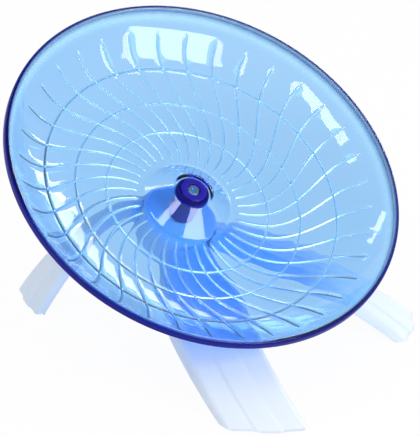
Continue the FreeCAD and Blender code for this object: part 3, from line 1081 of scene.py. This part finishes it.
    def painted_highlight_mark(self, points: Array) -> Array:
        """Painted highlight on a band of the running face inside the lip, falling to 0 at its sides and on
        the underside.

        Args:
            points: Section points (radius, level).

        Returns:
            A share from 0 to 1 for each point.
        """
        radius, level = points.T
        band = 1 - smoothstep(*self.lip_band[::-1], self.radius - radius)
        band = band * (1 - self.rim_mark(points + [self.lip_gap, 0.0]))
        middle = self.wall_level(np.minimum(radius, self.radius - self.lip_width), self.wall / 2)
        return band * (level > middle)

    def surface(self) -> tuple[Surface, dict[str, Array]]:
        """The section turned about the axle, with columns that follow the swirling ribs and crowd at them.

        Returns:
            The skin, and its marks "edge", "lip" (the painted highlight) and "rib" at each point.
        """
        points, rise, ribbed = self.profile()
        radius, level = points[:, :1], points[:, 1:]
        angle, straight = self.swirl(radius)
        cuts = np.array(self.rib_cuts)
        pitch = 2 * math.pi / self.swirl_count
        half = self.rib_half / (np.clip(radius, self.swirl_start, None) * straight)
        gap = np.arange(1, self.plain_cuts + 1) / (self.plain_cuts + 1)
        near = cuts * half
        plain = near[:, -1:] + gap * (pitch - near[:, -1:] + near[:, :1])
        across = np.concatenate([np.broadcast_to(cuts, near.shape), np.ones(plain.shape)], 1)
        sector = np.concatenate([near, plain], 1)
        turn = angle[..., None] + np.arange(self.swirl_count)[:, None] * pitch + sector[:, None, :]
        turn = turn.reshape(len(points), -1)
        height = np.where(ribbed[:, None], np.tile(self.ribs(radius, across), (1, self.swirl_count)), 0.0)
        out = radius + rise[:, :1] * height
        up = level + rise[:, 1:] * height
        grid = np.stack([out * np.cos(turn), out * np.sin(turn), np.broadcast_to(up, turn.shape)], -1)
        marks = {"edge": np.repeat(self.rim_mark(points), turn.shape[1]),
                 "lip": np.repeat(self.painted_highlight_mark(points), turn.shape[1]),
                 "rib": height / self.rib_height}
        return Surface.ring(AXLE.to_ground(grid)), marks

    def build(self, wardrobe: Wardrobe) -> None:
        """Makes the dish and sets it in place of its solid."""
        skin, marks = self.surface()
        wardrobe.fit(skin.to_object("dish_with_grip_ribs", **marks), Body.DISC, Slot.DISH, "running_disc")


@dataclass
class HubBarrel:
    """Navy tube for the two bearings, bonded into the dome's hole.

    Attributes:
        radius: Outer radius.
        bore_radius: Seat of the bearings.
        ledge_radius: Ledge between the two bearings.
        collar_radius: Collar that the dome's flat top rests on.
        levels: Lower and upper end.
        collar: Lower and upper face of the collar.
        ledge: Lower and upper face of the ledge.
        edge: Rounding of the edges.
        edge_steps: Points on each edge.
        columns: Places round the axle.
    """

    radius: float = 5.92
    bore_radius: float = 5.02
    ledge_radius: float = 4.3
    collar_radius: float = 7.6
    levels: Point = (-8.0, 8.7)
    collar: Point = (5.28, 6.48)
    ledge: Point = (-3.3, 3.2)
    edge: float = 0.25
    edge_steps: int = 5
    columns: int = 96

    def build(self, wardrobe: Wardrobe) -> None:
        """Makes the tube, a rounded section turned about the axle, in place of its solid.

        Args:
            wardrobe: Finishes for the pieces.
        """
        low, high = self.levels
        collar_low, collar_high = self.collar
        ledge_low, ledge_high = self.ledge
        corners = np.array([
            (self.radius, high), (self.radius, collar_high), (self.collar_radius, collar_high),
            (self.collar_radius, collar_low), (self.radius, collar_low), (self.radius, low),
            (self.bore_radius, low), (self.bore_radius, ledge_low), (self.ledge_radius, ledge_low),
            (self.ledge_radius, ledge_high), (self.bore_radius, ledge_high), (self.bore_radius, high)])
        section = rounded_loop(corners, np.full(len(corners), self.edge), self.edge_steps)
        tube = turned(section, self.columns).to_object("barrel_tube")
        wardrobe.fit(tube, Body.DISC, Slot.CAP, "hub_barrel")
        wardrobe.dress(tube, Slot.BARREL)


@dataclass
class HubCap:
    """Navy cap ring pressed into the barrel.

    Attributes:
        flange_radius: Outer radius of the flange.
        hole_radius: Hole in its middle.
        flange: Lower and upper face of the flange.
        plug_radii: Inner and outer radius of the plug below it.
        plug_low: Lower end of the plug.
        edge: Rounding of the edges.
        edge_steps: Points on each edge.
        columns: Places round the axle.
    """

    flange_radius: float = 5.9
    hole_radius: float = 3.0
    flange: Point = (8.73, 9.49)
    plug_radii: Point = (4.0, 4.98)
    plug_low: float = 7.23
    edge: float = 0.28
    edge_steps: int = 6
    columns: int = 96

    def build(self, wardrobe: Wardrobe) -> None:
        """Makes the cap, a rounded section turned about the axle, in place of its solid.

        Args:
            wardrobe: Finishes for the pieces.
        """
        low, high = self.flange
        inner, outer = self.plug_radii
        corners = np.array([
            (self.hole_radius, low), (self.hole_radius, high), (self.flange_radius, high),
            (self.flange_radius, low), (outer, low), (outer, self.plug_low), (inner, self.plug_low),
            (inner, low)])
        section = rounded_loop(corners, np.full(len(corners), self.edge), self.edge_steps)
        wardrobe.fit(turned(section, self.columns).to_object("cap_ring"), Body.DISC, Slot.CAP, "hub_cap")


@dataclass(frozen=True)
class LegPlan:
    """Course of one leg.

    Attributes:
        node: Solid that the leg stands for.
        direction: Angle of its heading from the low side of the disc, in degrees.
        reach: From the crown's middle to the foot.
        bow: Sideways bow half way along.
        lift: Root above the crown's middle.
        slope: Slope of the root, in degrees.
        roll: Roll of the foot about the leg's line, in degrees.
    """

    node: str
    direction: float
    reach: float
    bow: float
    lift: float
    slope: float
    roll: float

    def heading(self) -> Array:
        """Level unit vector along the leg."""
        angle = math.radians(self.direction)
        return np.array([math.sin(angle), -math.cos(angle), 0.0])


LEG_PLANS: tuple[LegPlan, ...] = (
    LegPlan("front_left_leg", direction=-14.0, reach=106.4, bow=-5.4, lift=-4.0, slope=22.0, roll=20.0),
    LegPlan("front_right_leg", direction=52.0, reach=104.9, bow=10.1, lift=0.5, slope=24.0, roll=-8.8),
    LegPlan("rear_leg", direction=-144.5, reach=71.1, bow=-12.0, lift=10.0, slope=26.0, roll=1.5),
)


@dataclass
class StandLeg:
    """Arched channel leg with a raised middle panel, flared flanges and a rounded foot.

    Attributes:
        plan: Course of the leg.
        crown_middle: Middle of the crown along the axle.
        crown_radius: Radius at which the leg leaves the crown.
        root_radius: Start of the leg's line, from the crown's middle.
        neck_width: Width of the top panel at the crown.
        neck_share: Share of the line over which the neck widens.
        width: Width of the top panel past the neck.
        foot_width: The same at the foot.
        flare: How far each flange spreads, at the root and at the foot.
        flange: Depth of the flanges, at the root and at the foot.
        wall: Thickness of the plastic.
        panel_rise: Step of the raised middle panel.
        panel_share: Share of the width that it takes.
        step_width: Width of the step.
        block_depth: Depth of the filled root.
        block_end: Shares of the line over which the filling ends.
        outer_rounds: Roundings from the panel's middle to a flange's outer edge.
        inner_rounds: Roundings from a flange's inner edge to the panel's underside.
        round_steps: Points on each rounding.
        outer_picks: Those of them that an outer rounding keeps.
        foot_corner: Rounding of the foot's corners.
        gap: Between neighbouring legs beside the crown.
        tongue_radii: Inner and outer end of the tongue in the crown.
        tongue_width: Width of the tongue.
        tongue_levels: Lower and upper face of the tongue.
        tongue_edge: Rounding of its edges.
        tongue_steps: Points on each of them.
        tongue_rows: Outlines along the tongue.
        rows: Outlines along the leg.
        trial_rows: Outlines along which the ends are looked for.
        overrun: Share of the line at which the search ends.
        nudge: Share of the line on each side of a place that gives its direction.
    """

    plan: LegPlan
    crown_middle: float = -16.7
    crown_radius: float = 17.02
    root_radius: float = 12.0
    neck_width: float = 17.0
    neck_share: float = 0.35
    width: float = 32.0
    foot_width: float = 28.5
    flare: Point = (4.0, 1.5)
    flange: Point = (8.0, 3.0)
    wall: float = 2.4
    panel_rise: float = 0.8
    panel_share: float = 0.33
    step_width: float = 1.2
    block_depth: float = 8.5
    block_end: Point = (0.16, 0.31)
    outer_rounds: tuple[float, ...] = (0.9, 0.9, 2.6, 0.7)
    inner_rounds: tuple[float, ...] = (0.7, 1.6)
    round_steps: int = 10
    outer_picks: tuple[int, ...] = (0, 2, 4, 7, 9)
    foot_corner: float = 3.5
    gap: float = 0.3
    tongue_radii: Point = (9.0, 16.9)
    tongue_width: float = 12.0
    tongue_levels: Point = (-19.6, -14.6)
    tongue_edge: float = 0.4
    tongue_steps: int = 4
    tongue_rows: int = 6
    rows: int = 72
    trial_rows: int = 420
    overrun: float = 1.22
    nudge: float = 0.01

    def centre(self) -> Array:
        """Middle of the crown in the ground frame."""
        return AXLE.to_ground(np.array([0.0, 0.0, self.crown_middle]))

    def line(self, share: Array) -> Array:
        """Middle line: an arc in an upright plane from root to foot, bowed sideways as a parabola.

        Args:
            share: 0 at the root and 1 where the line meets the ground.

        Returns:
            Points, one for each share.
        """
        run = self.plan.reach - self.root_radius
        height = self.centre()[2] + self.plan.lift
        first = math.radians(self.plan.slope)
        half = math.atan2(height, run) - first
        radius = math.hypot(run, height) / (2 * math.sin(half))
        angle = first + 2 * half * share
        away = radius * (np.sin(angle) - math.sin(first))
        up = height + radius * (np.cos(angle) - math.cos(first))
        drift = self.plan.bow * 4 * (away / run) * (1 - away / run)
        out = self.plan.heading()
        side = np.array([-out[1], out[0], 0.0])
        level = self.centre() * [1.0, 1.0, 0.0] + np.multiply.outer(up, np.array([0.0, 0.0, 1.0]))
        return level + np.multiply.outer(self.root_radius + away, out) + np.multiply.outer(drift, side)

    def axes(self, share: Array) -> tuple[Array, Array]:
        """Sideways and upward unit vectors along the line, rolled towards the foot.

        Args:
            share: Shares of the line.

        Returns:
            Sideways vectors and normals.
        """
        along = self.line(share + self.nudge) - self.line(share - self.nudge)
        along /= np.linalg.norm(along, axis=-1, keepdims=True)
        side = np.cross([0.0, 0.0, 1.0], along)
        side /= np.linalg.norm(side, axis=-1, keepdims=True)
        roll = np.radians(self.plan.roll * share)[..., None]
        side = side * np.cos(roll) + np.cross(along, side) * np.sin(roll)
        return side, np.cross(along, side)

    def outline(self, share: Array) -> Array:
        """Closed outline of the channel at each share, as distances across and up.

        The outer half has flared flanges and a raised middle panel. The inner half is a wall's thickness
        below it, and sinks to a filled block near the crown.

        Args:
            share: Shares of the line, shape (rows,).

        Returns:
            Rounded outline, shape (rows, points, 2).
        """
        grown = smoothstep(0.0, self.neck_share, share)
        full = self.width + (self.foot_width - self.width) * share
        top = (self.neck_width * (1 - grown) + full * grown) / 2
        flare = self.flare[0] + (self.flare[1] - self.flare[0]) * share
        flange = self.flange[0] + (self.flange[1] - self.flange[0]) * share
        lean = flare / flange
        low = top + flare
        step_out = top * self.panel_share + self.step_width / 2
        step_in = top * self.panel_share - self.step_width / 2
        filled = 1 - smoothstep(*self.block_end, share)
        inner_top = top - self.wall * (np.hypot(1.0, lean) - lean)
        inner_low = low - self.wall * np.hypot(1.0, lean)
        inner_up = -self.wall - filled * (self.block_depth - self.wall)
        flat, rise = np.zeros_like(share), np.full_like(share, self.panel_rise)
        right = [(step_in, rise), (step_out, flat), (top, flat), (low, -flange)]
        left = [(-across, up) for across, up in reversed(right)]
        inner = [(inner_low, -flange), (inner_top, inner_up)]
        back = [(-across, up) for across, up in reversed(inner)]
        outer_loop = np.stack([np.stack(corner, -1) for corner in left + right], 1)
        inner_loop = np.stack([np.stack(corner, -1) for corner in inner + back], 1)
        corners = np.concatenate([outer_loop, inner_loop], 1)
        outer, inside = self.outer_rounds, self.inner_rounds
        radii = np.array([*reversed(outer), *outer, *inside, *reversed(inside)])
        fine = rounded_loop(corners, radii, self.round_steps).reshape(len(share), len(radii), -1, 2)
        kept = fine[:, :2 * len(outer), self.outer_picks].reshape(len(share), -1, 2)
        return np.concatenate([kept, fine[:, 2 * len(outer):].reshape(len(share), -1, 2)], 1)

    def rails(self, share: Array) -> Array:
        """Outlines carried along the line.

        Args:
            share: Shares of the line, shape (rows,).

        Returns:
            Points in the ground frame, shape (rows, points, 3).
        """
        side, normal = self.axes(share)
        outline = self.outline(share)
        spread = outline[..., :1] * side[:, None] + outline[..., 1:] * normal[:, None]
        return self.line(share)[:, None] + spread

    def starts(self, rails: Array, share: Array) -> Array:
        """Share at which each rail comes out of the crown and of the room of its neighbours.

        Args:
            rails: Trial rails.
            share: Their shares.

        Returns:
            One share for each rail.
        """
        spot = AXLE.from_ground(rails)
        taken = np.hypot(spot[..., 0], spot[..., 1]) < self.crown_radius
        own = self.plan.direction
        turns = [(other.direction - own) % 360.0 for other in LEG_PLANS if other.node != self.plan.node]
        tip = self.centre() + self.plan.heading() * self.gap
        for angle, sign in ((own + (max(turns) - 360.0) / 2, -1.0), (own + min(turns) / 2, 1.0)):
            edge = math.radians(angle)
            beyond = np.array([math.cos(edge), math.sin(edge), 0.0]) * sign
            taken |= (rails - tip) @ beyond > 0
        last = len(share) - 1 - np.argmax(taken[::-1], axis=0)
        return np.where(taken.any(0), share[np.minimum(last + 1, len(share) - 1)], share[0])

    def stops(self, rails: Array, share: Array) -> Array:
        """Share at which each rail meets the ground, drawn back along a quarter circle at the foot's corners.

        Each corner's circle starts where its own side of the foot meets the ground.

        Args:
            rails: Trial rails.
            share: Their shares.

        Returns:
            One share for each rail.
        """
        level = rails[..., 2]
        first = np.clip(np.argmax(level <= 0.0, axis=0), 1, None)
        column = np.arange(rails.shape[1])
        above, below = level[first - 1, column], level[first, column]
        meet = share[first - 1] + (share[1] - share[0]) * above / (above - below)
        foot = np.ones(1)
        across = self.outline(foot)[0, :, 0]
        straight = np.abs(across).max() - self.foot_corner
        into = np.clip(np.abs(across) - straight, 0.0, self.foot_corner)
        back = self.foot_corner - np.sqrt(self.foot_corner ** 2 - into ** 2)
        length = np.linalg.norm(np.diff(self.line(share), axis=0), axis=-1).sum() / (share[-1] - share[0])
        side, normal = self.axes(foot)
        edge = self.line(foot)[0, 2] + side[0, 2] * np.sign(across) * straight
        ground = -edge / np.cross(side, normal)[0, 2]
        return np.where(into > 0.0, np.minimum(meet, 1 + (ground - back) / length), meet)

    def channel(self) -> Surface:
        """Channel between the crown and the ground: each rail runs from its own start to its own stop.

        Returns:
            The skin in the ground frame.
        """
        share = np.linspace(0.0, self.overrun, self.trial_rows)
        rails = self.rails(share)
        start, stop = self.starts(rails, share), self.stops(rails, share)
        t = np.linspace(0.0, 1.0, self.rows)[:, None]
        place = (start + (stop - start) * t) / (share[1] - share[0])
        whole = np.clip(place.astype(int), 0, len(share) - 2)
        part = (place - whole)[..., None]
        column = np.arange(rails.shape[1])
        return Surface.tube(rails[whole, column] * (1 - part) + rails[whole + 1, column] * part)

    def tongue(self) -> Surface:
        """Block that locks the leg into the crown: a rounded oblong carried along its heading.

        Returns:
            The skin in the ground frame.
        """
        low, high = self.tongue_levels
        half = self.tongue_width / 2
        corners = np.array([(-half, high), (half, high), (half, low), (-half, low)])
        oblong = rounded_loop(corners, np.full(len(corners), self.tongue_edge), self.tongue_steps)
        local = self.plan.heading() @ AXLE.axes().T
        out = np.array([local[0], local[1], 0.0]) / math.hypot(local[0], local[1])
        side = np.array([-out[1], out[0], 0.0])
        along = np.linspace(*self.tongue_radii, self.tongue_rows)
        flat = oblong[:, :1] * side + oblong[:, 1:] * np.array([0.0, 0.0, 1.0])
        return Surface.tube(AXLE.to_ground(flat + along[:, None, None] * out))

    def build(self, wardrobe: Wardrobe) -> None:
        """Makes the leg and sets it in place of its solid."""
        leg = (self.channel() + self.tongue()).to_object(self.plan.node + "_moulding")
        wardrobe.fit(leg, Body.STAND, Slot.STAND, self.plan.node)


@dataclass
class PlainSolids:
    """Solids that stay as they are: the crown, the axle, the bearings and the screws.

    Attributes:
        slots: Slot of each solid outside the bearings.
        bearing_slots: Slot of each piece of a bearing.
        bearings: Names of the bearings.
    """

    slots: Mapping[str, Slot] = field(default_factory=lambda: {
        "stand_crown": Slot.STAND, "leg_screws": Slot.ZINC, "axle": Slot.BRIGHT, "axle_screw": Slot.SCREW,
        "axle_washer": Slot.ZINC, "thrust_collar": Slot.NYLON, "bearing_spacer": Slot.BRIGHT})
    bearing_slots: Mapping[str, Slot] = field(default_factory=lambda: {
        "outer_race": Slot.RACE, "inner_race": Slot.RACE, "balls": Slot.BALL, "cage": Slot.NYLON,
        "shields": Slot.ZINC})
    bearings: Sequence[str] = ("upper_bearing", "lower_bearing")

    def build(self, wardrobe: Wardrobe) -> None:
        """Dresses each solid with the finish of its slot.

        Args:
            wardrobe: Finishes for the pieces.
        """
        rows = dict(self.slots)
        rows.update({f"{bearing}_{piece}": slot for bearing in self.bearings
                     for piece, slot in self.bearing_slots.items()})
        for node, slot in rows.items():
            wardrobe.dress(frame["nodes"][node], slot)
            LOG.info("%s: solid dressed as %s", node, slot.value)


# Studio


def towards(azimuth: float, elevation: float) -> Vector:
    """Unit vector from the disc to a place in the studio.

    Args:
        azimuth: Angle from the low side of the disc, in degrees: 0 is along -Y and 90 along +X.
        elevation: Height above the horizon, in degrees.

    Returns:
        The vector.
    """
    a, e = math.radians(azimuth), math.radians(elevation)
    return Vector((math.sin(a) * math.cos(e), -math.cos(a) * math.cos(e), math.sin(e)))


@dataclass
class Softbox:
    """Flat lamp that faces the disc.

    Attributes:
        name: Name of the lamp.
        azimuth: Angle from the low side of the disc, in degrees.
        elevation: Height above the horizon, in degrees.
        distance: From the disc, in metres.
        size: Width and height, in metres.
        roll: Turn about the line to the disc, in degrees.
        power: Power in watts.
        gleam_only: Whether it shows in reflections alone and leaves matt faces unlit.
        tint: Colour of its light.
    """

    name: str
    azimuth: float
    elevation: float
    distance: float
    size: Point
    roll: float
    power: float
    gleam_only: bool = False
    tint: Colour = (1.0, 0.9, 0.9)

    def build(self, target: Vector) -> None:
        """Makes the lamp, turned to the target.

        Args:
            target: Point that it faces, in metres.
        """
        away = towards(self.azimuth, self.elevation)
        data = bpy.data.lights.new(self.name, "AREA")
        data.shape = "RECTANGLE"
        data.size, data.size_y = self.size
        data.energy = self.power
        data.color = self.tint
        lamp = bpy.data.objects.new(self.name, data)
        lamp.visible_diffuse = not self.gleam_only
        lamp.location = target + away * self.distance
        lamp.rotation_mode = "QUATERNION"
        roll = Quaternion((0.0, 0.0, 1.0), math.radians(self.roll))
        lamp.rotation_quaternion = away.to_track_quat("Z", "Y") @ roll
        bpy.context.scene.collection.objects.link(lamp)


@dataclass
class Studio:
    """White sweep, soft lamps and the camera at the photograph's angle.

    Attributes:
        offset: Point that the camera looks at, from the middle of the dish floor, in millimetres.
        azimuth: Camera's angle from the low side of the disc, in degrees.
        elevation: Camera's height above the horizon, in degrees.
        distance: Camera's distance, in metres.
        lens: Focal length, in millimetres.
        sensor: Width of the camera's picture, in millimetres.
        far: Farthest distance that the camera sees, in metres.
        floor_level: Level of the sweep, in metres, as are its other sizes.
        floor_front: Front edge of the sweep.
        floor_back: Where it starts to bend up.
        floor_half: Half of its width.
        sweep_radius: Radius of its bend.
        sweep_steps: Points on the bend.
        wall_height: Top of its wall.
        glow: Share of the sweep's own white in what is seen of it.
        fill: Strength of the soft light on matt faces.
        ceiling: Colours that mirrors see, each with its share of the way up from below to overhead.
        lamps: The lamps.
    """

    offset: tuple[float, float, float] = (-3.834, -22.036, 1.798)
    azimuth: float = -36.3
    elevation: float = 25.5
    distance: float = 1.5
    lens: float = 286.7
    sensor: float = 36.0
    far: float = 50.0
    floor_level: float = -0.0002
    floor_front: float = -2.2
    floor_back: float = 1.6
    floor_half: float = 3.0
    sweep_radius: float = 0.8
    sweep_steps: int = 16
    wall_height: float = 2.4
    glow: float = 0.95
    fill: float = 0.66
    ceiling: Sequence[tuple[float, Colour]] = (
        (0.0, (0.9, 0.9, 0.9)), (0.7, (0.85, 0.86, 0.88)), (0.88, (0.45, 0.5, 0.58)),
        (0.97, (0.05, 0.08, 0.16)))
    lamps: Sequence[Softbox] = (
        Softbox("front_softbox", azimuth=9.5, elevation=23.5, distance=1.5, size=(1.0, 0.54), roll=-23.0,
                power=14.0),
        Softbox("left_softbox", azimuth=-62.5, elevation=51.2, distance=1.5, size=(0.80, 0.19), roll=-40.0,
                power=4.3),
        Softbox("right_softbox", azimuth=121.0, elevation=24.0, distance=1.6, size=(1.5, 0.6), roll=0.0,
                power=17.0, gleam_only=True),
        Softbox("right_strip", azimuth=94.4, elevation=21.0, distance=1.5, size=(0.06, 0.8), roll=3.0,
                power=1.6),
        Softbox("back_softbox", azimuth=-164.0, elevation=54.2, distance=1.5, size=(0.36, 0.09), roll=-11.0,
                power=0.8),
    )

    def sweep(self) -> None:
        """Floor that bends up into a wall: a line, a quarter circle and a line carried sideways."""
        turn = np.linspace(0.0, np.pi / 2, self.sweep_steps)
        bend = np.stack([self.floor_back + self.sweep_radius * np.sin(turn),
                         self.floor_level + self.sweep_radius * (1 - np.cos(turn))], -1)
        path = np.concatenate([[[self.floor_front, self.floor_level]], bend,
                               [[self.floor_back + self.sweep_radius, self.wall_height]]])
        across = np.linspace(-self.floor_half, self.floor_half, 3)
        grid = np.stack(np.broadcast_arrays(across[:, None], path[:, 0], path[:, 1]), -1)
        floor = Surface.sheet(grid / MM).to_object("studio_sweep")
        material = bpy.data.materials.new("white sweep")
        shader = Shader(material)
        paper = shader.noise(shader.place(), scale=60.0, detail=3.0)
        tone = shader.between(paper, (0.9, 0.9, 0.9), (0.94, 0.94, 0.94))
        matt = shader.add("ShaderNodeBsdfDiffuse", {}, {"Color": tone})
        glow = shader.add("ShaderNodeEmission", {}, {"Color": (1.0, 1.0, 1.0, 1.0), "Strength": 1.0})
        seen = shader.ray("Is Camera Ray").at_least(shader.ray("Is Glossy Ray"))
        seen = seen.at_least(shader.ray("Is Transmission Ray"))
        shader.end("Surface", shader.mix(seen * self.glow, matt, glow))
        floor.data.materials.append(material)

    def world(self) -> None:
        """White room: mirrors see its dim ceiling, clear pieces see white, and matt ones get soft light."""
        scene = bpy.context.scene
        scene.world = bpy.data.worlds.new("studio room")
        shader = Shader(scene.world)
        way = shader.add("ShaderNodeTexCoord", {}, {}, "Generated")
        height = shader.add("ShaderNodeSeparateXYZ", {}, {0: way}, "Z")
        ceiling = shader.add("ShaderNodeValToRGB", {"stops": self.ceiling}, {0: height * 0.5 + 0.5}, "Color")
        clear = shader.ray("Is Camera Ray").at_least(shader.ray("Is Transmission Ray"))
        room = shader.add("ShaderNodeBackground", {}, {"Color": ceiling, "Strength": 1.0})
        plain = shader.add("ShaderNodeBackground", {}, {"Color": (1.0, 1.0, 1.0, 1.0),
                                                        "Strength": self.fill + (1 - self.fill) * clear})
        shader.end("Surface", shader.mix(shader.ray("Is Glossy Ray"), plain, room))

    def target(self) -> Vector:
        """Point that the camera looks at, in metres, set off from the middle of the dish floor."""
        return Vector((AXLE.origin + np.array(self.offset)) * MM)

    def camera(self) -> None:
        """Camera that looks at the target from its azimuth and elevation."""
        away = towards(self.azimuth, self.elevation)
        data = bpy.data.cameras.new("photo_camera")
        data.lens = self.lens
        data.sensor_width = self.sensor
        data.clip_end = self.far
        camera = bpy.data.objects.new("photo_camera", data)
        camera.location = self.target() + away * self.distance
        camera.rotation_mode = "QUATERNION"
        camera.rotation_quaternion = away.to_track_quat("Z", "Y")
        bpy.context.scene.collection.objects.link(camera)
        bpy.context.scene.camera = camera

    def build(self) -> None:
        """Sets up the sweep, the room, the lamps and the camera."""
        self.sweep()
        self.world()
        for lamp in self.lamps:
            lamp.build(self.target())
        self.camera()
        bpy.context.scene.view_settings.view_transform = "Standard"
        LOG.info("studio: %d lamps", len(self.lamps))


def main() -> None:
    """Builds the pieces in order and reports them."""
    logging.basicConfig(level=logging.INFO, format="%(name)s: %(message)s")
    wardrobe = Wardrobe()
    RunningDish().build(wardrobe)
    HubBarrel().build(wardrobe)
    HubCap().build(wardrobe)
    for plan in LEG_PLANS:
        StandLeg(plan).build(wardrobe)
    PlainSolids().build(wardrobe)
    Studio().build()


if __name__ == "__main__":
    main()
